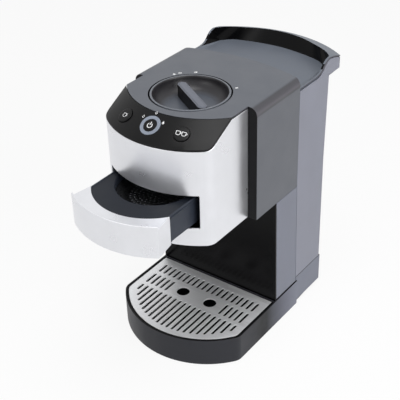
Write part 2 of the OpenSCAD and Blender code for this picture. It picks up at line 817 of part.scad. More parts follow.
module pod_sieve() color(steel) translate([0, pod_y, sieve_z]) difference() {
  rotate_extrude() polygon([
    [0, -sieve_drop], [well_r - 12, -sieve_drop], [well_r - 7, -sieve_t], [well_r - 0.2, -sieve_t],
    [well_r - 0.2, 0], [well_r - 7.4, 0], [well_r - 12.4, sieve_t - sieve_drop], [0, sieve_t - sieve_drop]]);
  translate([0, 0, -sieve_drop - 1]) linear_extrude(3) hole_rings(6, 4.6) circle(0.8, $fn = 16);
}

// Channel on each side in which the drawer's runners slide.
module drawer_rails() color(black_plastic) both_sides() difference() {
  union() {
    block(tray_w / 2 + play + 0.4, frame_in, rail_y, frame_back - 2, rail_z - 4, rail_z + 7);
    // cheek that closes the side of the opening
    intersection() {
      block(face_w / 2 + 0.7, frame_in, -shell_reach, rail_y, opening_z - 3, opening_top + 3);
      slab(0, top_z) shell_plan(shell_wall + play);
    }
  }
  // upright channels behind the front lip of each cheek, with a rib between them
  for (y = [cheek_y, cheek_y + 8]) block(0, face_w / 2 + 3, y, y + 6.5, opening_z - 4, opening_top + 4);
  block(tray_w / 2, tray_w / 2 + 3 + play + 0.4, rail_y - 1, frame_back, rail_z - play, rail_z + 3 + play);
}

module coffee_spout() color(black_plastic) translate([0, brew_y, 0]) difference() {
  union() {
    disc(10, head_z - 4, head_z + floor_t);
    disc(16, head_z + floor_t, head_z + floor_t + 5);
  }
  disc(6, head_z - 5, head_z + 9);
  translate([0, 0, head_z + floor_t + 1]) cylinder(r1 = 6, r2 = 14.5, h = 5);
}

// ---------- works ----------

module boiler() color("#a9abaf") difference() {
  union() {
    block(-boiler_w / 2, boiler_w / 2, boiler_y - boiler_d / 2, boiler_y + boiler_d / 2, boiler_z0, boiler_z1);
    // cast fins on the front
    for (z = [boiler_z0 + 8 : 9 : boiler_z1 - 6])
      block(-boiler_w / 2 + 6, boiler_w / 2 - 6, boiler_y - boiler_d / 2 - 2, boiler_y, z, z + 3);
    rod_x(5, boiler_w / 2 - 1, pump_end, pump_y, inlet_z);
    disc(5, boiler_z1 - 1, boiler_z1 + 6, 0, boiler_y);
    // two feet that stand on the floor of the head
    for (side = [-1, 1])
      block(side * 26 - 5, side * 26 + 5, boiler_y + 2, boiler_y + boiler_d / 2, head_z + floor_t, boiler_z0 + 1);
  }
  rod_x(2, boiler_w / 2 - 20, pump_end + 1, pump_y, inlet_z);
  disc(2, boiler_z1 - 10, boiler_z1 + 7, 0, boiler_y);
}

module thermostat() color(brass) {
  disc(8, boiler_z1, boiler_z1 + 4, -22, boiler_y);
  disc(5, boiler_z1 + 4 - eps, boiler_z1 + 7, -22, boiler_y);
}

module pump() color("#46484d") {
  rod_x(pump_r, -pump_half, pump_half, pump_y, pump_z);
  rod_x(neck_r, -neck_half, neck_half, pump_y, pump_z);
  rod_x(hose_r, -pump_end, pump_end, pump_y, pump_z);
  for (x = [-20 : 8 : 20]) rod_x(pump_r + 1, x - 1, x + 1, pump_y, pump_z);
}

module pump_mounts() color(rubber) for (side = [-1, 1]) difference() {
  block(side * mount_x - 3, side * mount_x + 3, pump_y - mount_half, pump_y + mount_half, base_h,
    pump_z + mount_half);
  rod_x(neck_r, side * mount_x - 4, side * mount_x + 4, pump_y, pump_z);
}

module main_board() color("#2f6b45") {
  block(-board_w / 2, board_w / 2, board_face, board_y, board_z0, board_z1);
  for (p = board_parts) block(p[0], p[1], board_y - p[4], board_face + eps, board_z0 + p[2], board_z0 + p[3]);
  for (x = capacitor_xs) rod_y(4, board_y - 12, board_face + eps, x, board_z0 + 14);
}

// From the tank socket, forward under the column and up to the pump.
module suction_hose() color("#c9cdd2")
  translate([socket_x, socket_y, socket_z]) rotate([180, 0, 0]) elbow(90) run(socket_y - pump_y - 2 * bend_r)
    elbow(90) run(pump_z - socket_z - bend_r) elbow(0);

// From the pump up to the boiler.
module pressure_hose() color("#c9cdd2")
  translate([pump_end, pump_y, pump_z]) rotate([0, 90, 0]) elbow(180) run(inlet_z - pump_z - 2 * bend_r) elbow(180);

// From the boiler over to the brew housing.
module brew_hose() color("#c9cdd2")
  translate([0, boiler_y, boiler_z1 + 6]) run(nipple_top - boiler_z1 - 6) elbow(-90)
    run(boiler_y - brew_y - nipple_dy - 2 * bend_r) elbow(-90);

// ---------- water tank ----------

// Plan of the tank's body, its walls set in by inset.
module tank_plan(inset = 0) difference() {
  half = tank_w / 2 - inset;
  r = max(tank_corner_r - inset, 0.5);
  union() {
    translate([-half, 0]) square([2 * half, tank_back - inset - r]);
    translate([-half + r, 0]) square([2 * (half - r), tank_back - inset]);
    for (side = [-1, 1]) translate([side * (half - r), tank_back - inset - r]) circle(r);
  }
  before_seam(seam_gap + inset);
}

// Plan of the top, out to the grip, with its walls set in by inset.
module top_rear_plan(inset = 0, front_inset = 0) difference() {
  intersection() {
    translate([0, grip_cy]) circle(grip_r - inset);
    translate([-tank_w / 2 + inset, 0]) square([tank_w - 2 * inset, rear_reach]);
  }
  before_seam(seam_gap + front_inset);
}

// Everything below the S-curved top line of the side walls, from low to high.
module below_sweep(drop = 0, shift = 0) {
  r = (pow(sweep_len, 2) + pow(gallery_top - rim_z, 2)) / (4 * (gallery_top - rim_z));
  y0 = sweep_y + shift;
  mid = y0 + sweep_len / 2;
  y1 = y0 + sweep_len;
  mid_z = (rim_z + gallery_top) / 2;
  translate([-tank_w, 0, -drop]) rotate([90, 0, 90]) linear_extrude(2 * tank_w) {
    translate([0, tank_z]) square([rear_reach + 5, rim_z - tank_z]);
    difference() {
      translate([y0, rim_z - eps]) square([mid - y0, mid_z - rim_z]);
      translate([y0, rim_z + r]) circle(r);
    }
    intersection() {
      translate([mid - eps, rim_z - eps]) square([y1 - mid + 2 * eps, gallery_top - rim_z + eps]);
      translate([y1, gallery_top - r]) circle(r);
    }
    translate([y1, rim_z - eps]) square([rear_reach + 5 - y1, gallery_top - rim_z + eps]);
  }
}

// Everything below the flange that slopes from the gallery's edge to the grip.
module below_flange(drop = 0) translate([0, 0, -drop]) {
  slab(tank_z, grip_z + grip_h) translate([0, grip_cy]) circle(grip_r);
  hull() {
    disc(grip_r, grip_z + grip_h - eps, grip_z + grip_h, 0, grip_cy);
    disc(wall_top_r, gallery_top - eps, gallery_top, 0, wall_top_cy);
  }
}

// Inside of the cup tray: it leans back from its floor to the gallery's edge.
module tray_inside(grow = 0) intersection() {
  over = 1.25;
  hull() {
    disc(wall_foot_r + grow, lid_floor - grow, lid_floor - grow + eps, 0, wall_foot_cy);
    disc(wall_foot_r + over * (wall_top_r - wall_foot_r) + grow, lid_floor + over * gallery_h,
      lid_floor + over * gallery_h + eps, 0, wall_foot_cy + over * (wall_top_cy - wall_foot_cy));
  }
  block(-tank_w / 2 + rim_w - grow, tank_w / 2 - rim_w + grow, 0, rear_reach, lid_floor - grow, top_z + 20);
}

module water_tank() color("#8e909c") difference() {
  intersection() {
    union() {
      slab(tank_z, ledge_z) tank_plan();
      slab(grip_z, top_z + 20) top_rear_plan(0, 0);
    }
    below_sweep(rim_h + play, sweep_lag);
    below_flange(rim_h + play);
  }
  slab(tank_z + tank_wall, ledge_z + 1) tank_plan(tank_wall);
  slab(grip_z + tank_wall, ledge_z + 1) top_rear_plan(tank_wall, tank_wall);
  slab(ledge_z, top_z + 20) top_rear_plan(lip_t, -1);
  disc(3, tank_z - 1, tank_z + 5, socket_x, socket_y);
}

module tank_lid() color(dark_plastic) difference() {
  intersection() {
    union() {
      slab(lid_floor - lid_t, top_z + 20) top_rear_plan(lip_t + play, 0);
      difference() {
        slab(lid_floor, top_z + 20) top_rear_plan(0, 0);
        below_sweep(rim_h, sweep_lag);
      }
      difference() {
        slab(lid_floor, top_z + 20) top_rear_plan(0, 0);
        below_flange(rim_h);
      }
    }
    below_sweep();
    below_flange();
  }
  tray_inside();
  // hollow behind the gallery's wall
  difference() {
    intersection() {
      slab(lid_floor - lid_t - 1, top_z) top_rear_plan(lip_t + play + lid_t, 0);
      below_flange(lid_t);
      below_sweep(lid_t);
    }
    tray_inside(lid_t);
  }
}

module tank_socket() color(black_plastic) translate([socket_x, socket_y, 0]) difference() {
  union() {
    disc(socket_r, socket_z, deck_base_z);
    disc(socket_r + 4, deck_base_z - 6, deck_base_z - 3);
  }
  disc(spigot_r + 1.8, socket_z + 3, deck_base_z + 1);
  disc(2.5, socket_z - 1, socket_z + 4);
}

module tank_valve() color(black_plastic) translate([socket_x, socket_y, 0]) difference() {
  union() {
    disc(spigot_r, tank_z - spigot_h, tank_z);
    disc(2.8, tank_z - eps, tank_z + tank_wall + 3);
    disc(spigot_r - 1.5, tank_z + tank_wall, tank_z + tank_wall + 2);
  }
  ring(spigot_r - 1.5, spigot_r + 1, tank_z - 5, tank_z - 3);
  disc(1.5, tank_z - spigot_h - 1, tank_z + 8);
}

module tank_seal() color(rubber) ring(spigot_r - 1.5, spigot_r + 1.5, tank_z - 5, tank_z - 3, socket_x, socket_y);

placed() base_housing();
placed() base_plate();
placed() base_screws();
placed() feet();
placed() cord_gland();
placed() drip_tray();
placed() drip_grid();
placed() column_housing();
placed() column_front();
placed() head_frame();
placed() head_floor();
placed() front_shell();
placed() head_cover();
placed() control_panel();
placed() power_ring();
placed() one_cup_button();
placed() power_button();
placed() two_cup_button();
placed() key_carrier();
placed() key_switches();
placed() knob();
placed() knob_shaft();
placed() brew_housing();
placed() brew_piston();
placed() return_springs();
placed() piston_seal();
placed() shower_screen();
placed() drawer_front();
placed() drawer_tray();
placed() pod_sieve();
placed() drawer_rails();
placed() coffee_spout();
placed() boiler();
placed() thermostat();
placed() pump();
placed() pump_mounts();
placed() main_board();
placed() suction_hose();
placed() pressure_hose();
placed() brew_hose();
placed() tank_socket();
placed() water_tank();
placed() tank_valve();
placed() tank_seal();
placed() tank_lid();
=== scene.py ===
# %% [markdown]
# # A pod coffee machine
# This lesson dresses a pod coffee machine around its finished engineering model.
# The engineering model gives every size and every moving part. Blender adds what the
# eye sees: rounded edges, moulded details and real surface finishes. Each step starts
# with a few words on the real piece and on why it is made in the way that follows.

# %% Load the engineering model
import bpy
import bmesh
from bmesh.types import BMEdge, BMFace, BMVert
from math import asin, atan, atan2, cos, degrees, hypot, pi, radians, sin, sqrt
from mathutils import Matrix, Quaternion, Vector


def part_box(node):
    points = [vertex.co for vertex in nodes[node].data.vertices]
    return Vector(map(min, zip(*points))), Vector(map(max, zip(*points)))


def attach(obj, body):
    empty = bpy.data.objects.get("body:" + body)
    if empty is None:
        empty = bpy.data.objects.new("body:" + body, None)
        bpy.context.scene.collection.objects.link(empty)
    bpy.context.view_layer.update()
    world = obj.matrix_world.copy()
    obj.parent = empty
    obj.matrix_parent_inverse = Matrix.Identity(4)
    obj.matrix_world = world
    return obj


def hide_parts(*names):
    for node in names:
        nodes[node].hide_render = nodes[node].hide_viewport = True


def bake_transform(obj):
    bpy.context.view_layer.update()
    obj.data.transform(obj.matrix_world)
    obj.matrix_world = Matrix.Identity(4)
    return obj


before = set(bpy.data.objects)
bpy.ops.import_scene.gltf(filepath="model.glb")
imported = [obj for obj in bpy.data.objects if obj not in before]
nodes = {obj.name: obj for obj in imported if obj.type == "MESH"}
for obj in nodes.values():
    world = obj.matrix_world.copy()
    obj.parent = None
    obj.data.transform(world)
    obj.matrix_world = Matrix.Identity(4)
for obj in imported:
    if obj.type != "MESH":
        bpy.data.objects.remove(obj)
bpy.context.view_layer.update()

# %% [markdown]
# ## The working space
# The sizes in this lesson are millimetres, with z up, the front towards -y, and y = 0
# at the front of the head's side walls. The engineering model is in metres and centred
# on its own box. One matrix takes a finished piece from the first space to the second,
# so that every piece can be drawn with the plain sizes of the real one.

# %% From working millimetres to the model's metres
def moved(x, y, z):
    """A shift by x, y and z."""
    return Matrix.Translation((x, y, z))


def turned(angle, axis):
    """A turn by an angle about an axis."""
    return Matrix.Rotation(angle, 4, axis)


FACE_REACH = 142
row_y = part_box("drawer_front")[0].y + FACE_REACH / 1000
TO_METRES = moved(0, row_y, 0) @ Matrix.Scale(0.001, 4)
print("the side walls' front stands at y =", round(row_y, 5))

# %% [markdown]
# ## The camera
# The camera comes first, because it decides what has to look right from close by. It
# stands high to the right of the machine and looks down on it through a longer lens.

# %% Make the camera
def add_object(name, data):
    """Puts a new object with its data into the scene."""
    made = bpy.data.objects.new(name, data)
    bpy.context.scene.collection.objects.link(made)
    return made


camera = add_object("camera", bpy.data.cameras.new("camera"))
SENSOR_W, LENS, NEAR, FAR = 36, 83.7, 0.05, 20
STAND, LOOK = (0.49099, -0.66051, 0.67207), Vector((-0.50938, 0.67071, -0.53913))
ROLL = radians(-1.81)
camera.data.sensor_width, camera.data.lens = SENSOR_W, LENS
camera.data.clip_start, camera.data.clip_end = NEAR, FAR
camera.location = STAND
camera.rotation_mode = "QUATERNION"
camera.rotation_quaternion = LOOK.to_track_quat("-Z", "Y") @ Quaternion((0, 0, 1), ROLL)
bpy.context.scene.camera = camera
print("camera at", [round(v, 3) for v in camera.location])

# %% [markdown]
# ## Surface finishes
# Every finish is made of nodes and reads the Object coordinates of the piece, so that
# it stays in place when the piece moves. A moulded plastic has a fine spark-eroded
# grain, and it is never quite even in shade or in gloss, so slow noise shifts both.

# %% Colours as they are seen
def seen(red, green, blue):
    """Turns a colour of 0 to 255 as it is seen into the linear colour of a shader."""
    values = [c / 255 for c in (red, green, blue)]
    return tuple(c / 12.92 if c < 0.04 else ((c + 0.055) / 1.055) ** 2.4 for c in values)


print("middle grey is", [round(c, 3) for c in seen(128, 128, 128)])

# %% Nodes that every finish shares
NOISE_LOW, NOISE_HIGH = 0.3, 0.7


def fill(tree, node, values):
    """Gives a node's inputs their values; a value that is another node's output is linked."""
    for socket, value in values.items():
        if isinstance(value, bpy.types.NodeSocket):
            tree.links.new(value, node.inputs[socket])
        else:
            node.inputs[socket].default_value = value


def add_node(tree, kind, output, values, operation=None):
    """Adds a shader node with its values and returns one of its outputs."""
    made = tree.nodes.new("ShaderNode" + kind)
    if operation:
        made.operation = operation
    fill(tree, made, values)
    return made.outputs[output]


def place_on(tree, values):
    """A place on the piece in its own space, in metres, after a shift or a stretch."""
    here = add_node(tree, "TexCoord", "Object", {})
    return add_node(tree, "Mapping", "Vector", {"Vector": here, **values})


def noise(tree, scale, detail=2.0, stretch=(1, 1, 1)):
    """Noise in the piece's own space; scale counts the patches in a metre."""
    place = place_on(tree, {"Scale": stretch})
    return add_node(tree, "TexNoise", "Fac", {"Vector": place, "Scale": scale, "Detail": detail})


def spread(tree, value, low, high):
    """Spreads a noise value between two numbers."""
    return add_node(tree, "MapRange", "Result", {
        "Value": value, "From Min": NOISE_LOW, "From Max": NOISE_HIGH, "To Min": low, "To Max": high})


def shades(tree, value, stops):
    """Lets a value from 0 to 1 choose a colour from stops of (value, colour)."""
    result = add_node(tree, "ValToRGB", "Color", {"Fac": value})
    ramp = result.node.color_ramp
    while len(ramp.elements) < len(stops):
        ramp.elements.new(0.5)
    for stop, (position, colour) in zip(ramp.elements, stops):
        stop.position = position
        stop.color = (*colour, 1)
    return result


def tint(tree, value, colour, change):
    """A colour that a noise value makes a little darker or lighter."""
    darker, lighter = ([min(1, c * factor) for c in colour] for factor in (1 - change, 1 + change))
    return shades(tree, value, [(NOISE_LOW, darker), (NOISE_HIGH, lighter)])


def bump(tree, value, depth):
    """Turns a noise value into small hills and hollows of the given depth in metres."""
    return add_node(tree, "Bump", "Normal", {"Strength": 1.0, "Distance": depth, "Height": value})


def new_finish(name):
    """A new material, its node tree and its shader."""
    material = bpy.data.materials.new(name)
    material.use_nodes = True
    return material, material.node_tree, material.node_tree.nodes["Principled BSDF"]

# %% Moulded plastic
def moulded(name, colour, gloss, grain=1500, depth=0.00003, change=0.05, metal=0.0, shine=0.4):
    """A moulded or lacquered plastic: colour, roughness, grain and unevenness."""
    material, tree, surface = new_finish(name)
    slow = noise(tree, 45, 3)
    fill(tree, surface, {
        "Base Color": tint(tree, slow, colour, change), "Metallic": metal, "Specular IOR Level": shine,
        "Roughness": spread(tree, slow, gloss * 0.9, gloss * 1.12)})
    if depth:
        fill(tree, surface, {"Normal": bump(tree, noise(tree, grain), depth)})
    return material


silver_lacquer = moulded("silver_lacquer", seen(226, 227, 231), 0.3, 2600, 0, 0.02, metal=0.8, shine=0.5)
# The column's plastic is a lighter copy of the head's dark plastic: painted light on the sides turned to the
# lamp on the right.
column_painted_light = moulded("column_painted_light", seen(116, 119, 131), 0.5)
lid_plastic = moulded("lid_plastic", seen(100, 106, 116), 0.45)
# The lid rim's plastic is a darker copy of the lid's grey: painted shade.
lid_rim_painted_shade = moulded("lid_rim_painted_shade", seen(62, 61, 70), 0.4, 1500, 0.00002)
# The tank's plastic is its own lilac grey, made lighter as painted light on the sides turned to the lamp on
# the right.
tank_plastic = moulded("tank_plastic", seen(128, 130, 142), 0.42, 1600, 0.00002)
black_plastic = moulded("black_plastic", seen(15, 15, 17), 0.4, shine=0.15)
panel_black = moulded("panel_black", seen(12, 12, 13), 0.32, 1800, 0.00001, shine=0.17)
gloss_black = moulded("gloss_black", seen(5, 5, 6), 0.24, 300, 0.000004, shine=0.1)
frame_plastic = moulded("frame_plastic", seen(60, 61, 64), 0.6, 900, 0.00004)
ring_plastic = moulded("ring_plastic", seen(138, 146, 160), 0.3, 1200, 0.00001)
bar_plastic = moulded("bar_plastic", seen(100, 104, 115), 0.4, 1500, 0.000015)
tray_plastic = moulded("tray_plastic", seen(44, 49, 59), 0.46, shine=0.25)
# The tray top's plastic is a darker copy of the tray's: painted shade under the head.
tray_top_painted_shade = moulded("tray_top_painted_shade", seen(24, 28, 36), 0.46, shine=0.2)
rubber = moulded("rubber", seen(34, 34, 35), 0.75, 700, 0.00005, shine=0.2)
white_ink = moulded("white_ink", seen(238, 239, 240), 0.5, 2500, 0.000005, 0.02)
board_green = moulded("board_green", seen(46, 104, 70), 0.4, 500, 0.00003, 0.1)
pump_plastic = moulded("pump_plastic", seen(70, 72, 78), 0.5, 900, 0.00004)
hose_silicone = moulded("hose_silicone", seen(208, 211, 215), 0.35, 900, 0.00001)
print(len(bpy.data.materials), "finishes so far")

# %% [markdown]
# Brushed metal has fine scratches along one direction. Noise that is squeezed across
# that direction makes both the scratches and their streaks of dull and bright. Cast
# metal and turned metal have no direction, so their noise stays round.

# %% Metals
def metal(name, colour, gloss, stretch, scale=60, depth=0.00001, metallic=1.0):
    """A bare metal; stretch says how much finer the pattern is along each axis."""
    material, tree, surface = new_finish(name)
    streaks = noise(tree, scale, 4, stretch)
    fill(tree, surface, {
        "Base Color": tint(tree, streaks, colour, 0.06), "Metallic": metallic,
        "Roughness": spread(tree, streaks, gloss * 0.8, gloss * 1.25), "Normal": bump(tree, streaks, depth)})
    return material


brushed_steel = metal("brushed_steel", seen(238, 239, 241), 0.5, (0.35, 22, 22), metallic=0.75)
turned_steel = metal("turned_steel", seen(188, 190, 194), 0.28, (1, 1, 1), 900)
sieve_steel = metal("sieve_steel", seen(120, 122, 126), 0.32, (1, 1, 1), 700)
cast_aluminium = metal("cast_aluminium", seen(176, 178, 181), 0.5, (1, 1, 1), 600, 0.00004)
plain_brass = metal("plain_brass", seen(196, 166, 100), 0.35, (1, 1, 1), 500)
print("the metals bring it to", len(bpy.data.materials))

# %% [markdown]
# ## Helpers for the shapes
# Most pieces of a moulded machine start as an outline seen from above: straight lines
# and arcs. A pen draws one into a bmesh, with the spin operator turning the last point
# about each arc's centre. The outline is then extruded into walls.

# %% A pen for outlines
BOW_STEPS, CORNER_STEPS = 40, 10


def only(kind, geom):
    """The points, the edges or the faces among the things that an operator made."""
    return [g for g in geom if isinstance(g, kind)]


def draw(bm, start, moves, z=0.0, close=True):
    """Draws lines to a point and arcs of (centre, degrees, steps); returns the points in order."""
    first = len(bm.verts)
    tip = bm.verts.new((*start, z))
    for move in moves:
        if len(move) == 2:
            tip = bmesh.ops.extrude_vert_indiv(bm, verts=[tip])["verts"][0]
            tip.co.xy = move
        else:
            centre, turn, steps = move
            swept = bmesh.ops.spin(
                bm, geom=[tip], cent=(*centre, z), axis=(0, 0, 1), angle=radians(turn), steps=steps)
            tip = only(BMVert, swept["geom_last"])[0]
    points = list(bm.verts)[first:]
    if close:
        bm.edges.new((points[-1], points[0]))
    return points


def circle(bm, radius, segments, place):
    """A round outline in its place; returns its points."""
    return bmesh.ops.create_circle(bm, segments=segments, radius=radius, matrix=place)["verts"]


def edges_of(points, close=True):
    """The edges that join neighbouring points of an outline."""
    pairs = list(zip(points, points[1:])) + ([(points[-1], points[0])] if close else [])
    return [e for a, b in pairs for e in a.link_edges if e.other_vert(a) == b]


def raise_walls(bm, points, z, close=True):
    """Extrudes an outline into walls and returns the new outline, its points at height z."""
    fresh = set(only(BMVert, bmesh.ops.extrude_edge_only(bm, edges=edges_of(points, close))["geom"]))
    above = [next(e.other_vert(p) for e in p.link_edges if e.other_vert(p) in fresh) for p in points]
    for point in above:
        point.co.z = z
    return above


def cap(bm, *outlines):
    """Fills the flat area between an outline and the holes in it; returns the new faces."""
    edges = [e for points in outlines for e in edges_of(points)]
    made = bmesh.ops.triangle_fill(bm, use_beauty=True, use_dissolve=False, edges=edges)["geom"]
    return only(BMFace, made)


def raise_faces(bm, faces, rise):
    """Extrudes faces straight up by a rise."""
    made = bmesh.ops.extrude_face_region(bm, geom=faces)["geom"]
    bmesh.ops.translate(bm, vec=(0, 0, rise), verts=only(BMVert, made))


def cut_across(bm, place, normal, geom=None):
    """Cuts new edges into everything, or into some of it, along a plane."""
    geom = geom or bm.verts[:] + bm.edges[:] + bm.faces[:]
    bmesh.ops.bisect_plane(bm, geom=geom, plane_co=place, plane_no=normal)


def faces_where(bm, test):
    """The faces whose middle passes a test."""
    return [f for f in bm.faces if test(f.calc_center_median())]


def level_faces(bm, z):
    """The faces whose middle is at height z."""
    return faces_where(bm, lambda middle: abs(middle.z - z) < 0.01)


def carry(bm, matrix):
    """Moves everything that is drawn so far."""
    bmesh.ops.transform(bm, matrix=matrix, verts=bm.verts)


def paint(faces, number):
    """Gives faces the finish of that number in their piece's list."""
    for face in faces:
        face.material_index = number


def arc_across(x, radius, centre_y):
    """The degrees of an arc from -x to x, and the y of its ends in front of its centre."""
    return 2 * degrees(asin(x / radius)), centre_y - sqrt(radius**2 - x**2)


def bow_centres(width, reach, radius, corner):
    """The centres of a bowed plan: x and y of its round corner, and y of its bow."""
    corner_x, bow_y = width / 2 - corner, radius - reach
    return corner_x, bow_y - sqrt((radius - corner) ** 2 - corner_x**2), bow_y


def bowed(width, reach, radius, corner, back):
    """Start and moves of a plan with straight sides, round corners and a bowed front."""
    corner_x, corner_y, bow_y = bow_centres(width, reach, radius, corner)
    half_bow = degrees(atan2(corner_x, bow_y - corner_y))
    moves = [
        (-width / 2, corner_y),
        ((-corner_x, corner_y), 90 - half_bow, CORNER_STEPS),
        ((0, bow_y), 2 * half_bow, BOW_STEPS),
        ((corner_x, corner_y), 90 - half_bow, CORNER_STEPS),
        (width / 2, back),
    ]
    return (-width / 2, back), moves

# %% [markdown]
# A finished piece gets its object, its finish, the body that it moves with, and the
# engineering node that it stands for. A Solidify modifier gives a shell its wall, and
# a Bevel modifier rounds every sharp edge a little, because no moulded or pressed edge
# is truly sharp and the round edge is what catches the light.

# %% From bmesh to finished piece
WELD_DIST = 0.004


def as_object(bm, name):
    """Makes an object of the scene from a bmesh."""
    mesh = bpy.data.meshes.new(name)
    bm.to_mesh(mesh)
    bm.free()
    return add_object(name, mesh)


def modify(piece, name, kind, **settings):
    """Adds a modifier with its settings."""
    modifier = piece.modifiers.new(name, kind)
    for setting, value in settings.items():
        setattr(modifier, setting, value)


def finish_piece(bm, name, finish, body, stands_for=(), wall=0.0, edge=0.0, angle=35, segments=2):
    """Makes the object of a piece that was drawn in working millimetres."""
    bmesh.ops.remove_doubles(bm, verts=bm.verts, dist=WELD_DIST)
    bmesh.ops.recalc_face_normals(bm, faces=bm.faces)
    carry(bm, TO_METRES)
    for face in bm.faces:
        face.smooth = True
    piece = as_object(bm, name)
    for surface in finish if isinstance(finish, list) else [finish]:
        piece.data.materials.append(surface)
    if wall:
        modify(piece, "wall", "SOLIDIFY", thickness=wall / 1000, offset=-1, use_even_offset=True)
    if edge:
        round_edges(piece, edge, angle, segments)
    if body:
        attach(piece, body)
    if stands_for:
        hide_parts(*stands_for)
    print(name, len(piece.data.polygons), "faces")
    return piece


def round_edges(piece, edge, angle, segments=2):
    """Rounds the sharp edges and lets the flat faces keep their shading."""
    modify(
        piece, "edges", "BEVEL", width=edge / 1000, segments=segments, limit_method="ANGLE",
        angle_limit=radians(angle), use_clamp_overlap=False, miter_outer="MITER_ARC")
    modify(piece, "shading", "WEIGHTED_NORMAL", weight=60, keep_sharp=True)


def cut_out(piece, cutters):
    """Cuts tools of working millimetres out of a piece's mesh, before its edges are rounded."""
    for bm in cutters:
        bmesh.ops.recalc_face_normals(bm, faces=bm.faces)
        carry(bm, TO_METRES)
        tool = as_object(bm, "tool")
        modify(piece, "cut", "BOOLEAN", operation="DIFFERENCE", solver="EXACT", object=tool)
        bpy.context.view_layer.update()
        cut_piece = piece.evaluated_get(bpy.context.evaluated_depsgraph_get())
        shape = bpy.data.meshes.new_from_object(cut_piece)
        piece.modifiers.clear()
        piece.data = shape
        bpy.data.objects.remove(tool)


print("helpers ready")

# %% [markdown]
# ## The sizes
# All widths and heights that the visible pieces share are named once, here.

# %% Shared sizes
TOP_Z, HEAD_Z = 280.0, 157.0
SHELL_W, SHELL_REACH, BOW_R, SHELL_CORNER = 125.0, 83.0, 94.0, 13.0
COVER_W, COVER_EDGE, SEAM_R = 146.0, 8.0, 215.0
COVER_DEPTH = 77.5
PANEL_DROP, PANEL_RUN, PANEL_TOP_R = 18.0, 28.5, 79.0
BREW_Y = -5.0
SEAM_Y = COVER_DEPTH - sqrt(SEAM_R**2 - (COVER_W / 2) ** 2)


def seam(x):
    """The y of the bowed joint between the head and the tank."""
    return SEAM_Y + sqrt(SEAM_R**2 - x * x)


print("the seam's middle is at y =", round(seam(0), 1))

# %% [markdown]
# ## The cone of the control panel
# The panel is not flat. It is a piece of a cone that leans forward, so that its upper
# edge bows less than its lower edge. Everything on it is placed by an angle round the
# cone's axis and a distance from its tip, which is how a maker would dimension it too.

# %% Sizes of the cone
PANEL_Z = TOP_Z - PANEL_DROP
SLOPE = atan2(PANEL_DROP, PANEL_RUN)
FACE_LEN = hypot(PANEL_DROP, PANEL_RUN)
TIP_LEN = FACE_LEN * BOW_R / (BOW_R - PANEL_TOP_R)
HALF = atan(BOW_R / (TIP_LEN * sin(SLOPE)))
TILT = pi / 2 - SLOPE - HALF
TIP = Vector((0, TIP_LEN * cos(SLOPE) - SHELL_REACH, PANEL_Z + TIP_LEN * sin(SLOPE)))
CONE = Matrix.Translation(TIP) @ turned(-TILT, "X")
BUTTON_LEN = TIP_LEN - FACE_LEN + 15.0
BUTTON_ANGLE = radians(15.5)
HALVINGS = 40


def ruling(angle, length):
    """The point of the cone at an angle round its axis and a distance from its tip."""
    return CONE @ turned(angle, "Z") @ turned(-HALF, "X") @ Vector((0, 0, -length))


def on_panel(angle, length=BUTTON_LEN):
    """A place on the panel, with z straight out of it and y up the slope."""
    turn = turned(angle, "Z") @ turned(-HALF, "X")
    return CONE @ turn @ moved(0, 0, -length) @ turned(pi / 2, "X")


def panel_height(x, y):
    """Height of the cone above a point."""
    along, side, k = y - TIP.y, sin(TILT), cos(HALF) ** 2
    a = cos(TILT) ** 2 - k
    b = 2 * along * side * cos(TILT)
    c = (along * side) ** 2 - k * (x * x + along**2)
    return TIP.z + (-b - sqrt(b * b - 4 * a * c)) / (2 * a)


def halve(test, low, high):
    """The last value for which a test still holds, found by halving."""
    for _ in range(HALVINGS):
        middle = (low + high) / 2
        low, high = (middle, high) if test(middle) else (low, middle)
    return low


def panel_y(x, z):
    """The y at which the cone has a height, for a given x."""
    return halve(lambda y: panel_height(x, y) < z, -SHELL_REACH - 10.0, 30.0)


print("cone tilted", round(degrees(TILT), 2), "half angle", round(degrees(HALF), 2))

# %% [markdown]
# ## The silver front shell
# On the real machine the front shell is one thin moulding, lacquered silver, bent round
# the front of the head with an opening for the drawer. It could be cut from a box, but
# a bent sheet is closer to how it looks: the outline is extruded upwards, the opening's
# four lines are cut across the sheet with bisect_plane and its faces are taken out,
# and the upper edge is let down onto the underside of the panel's cone.

# %% Front shell
OPENING_X, OPENING_Z, OPENING_TOP = 53.25, 177.0, 213.0
SHELL_TOP, SHELL_BACK, PANEL_GAP = 277.3, 5.5, 2.4
kink_y = panel_y(SHELL_W / 2, SHELL_TOP + PANEL_GAP)
bm = bmesh.new()
start, moves = bowed(SHELL_W, SHELL_REACH, BOW_R, SHELL_CORNER, SHELL_BACK)
moves = [(-SHELL_W / 2, kink_y)] + moves[:-1] + [(SHELL_W / 2, kink_y)] + moves[-1:]
points = draw(bm, start, moves, HEAD_Z, close=False)
for point in raise_walls(bm, points, SHELL_TOP, close=False):
    point.co.z = min(SHELL_TOP, panel_height(point.co.x, point.co.y) - PANEL_GAP)
for x in (-OPENING_X, OPENING_X):
    cut_across(bm, (x, 0, 0), (1, 0, 0))
for z in (OPENING_Z, OPENING_TOP):
    cut_across(bm, (0, 0, z), (0, 0, 1))
opening = faces_where(bm, lambda c: abs(c.x) < OPENING_X and OPENING_Z < c.z < OPENING_TOP)
bmesh.ops.delete(bm, geom=opening, context="FACES")
finish_piece(
    bm, "front_shell_skin", silver_lacquer, "chassis", ["front_shell"], wall=2.2, edge=0.6,
    segments=3)

# %% [markdown]
# ## The control panel
# The panel is a glossy black moulding in the shape of the cone. One ruling, a straight
# line from the cone's tip, is spun about the tilted axis. Each ruling's ends are then
# slid along it, up to the lip of the top plate and down to the outline of the shell.

# %% Panel sheet
PANEL_T, PANEL_UPPER = 2.2, 279.7


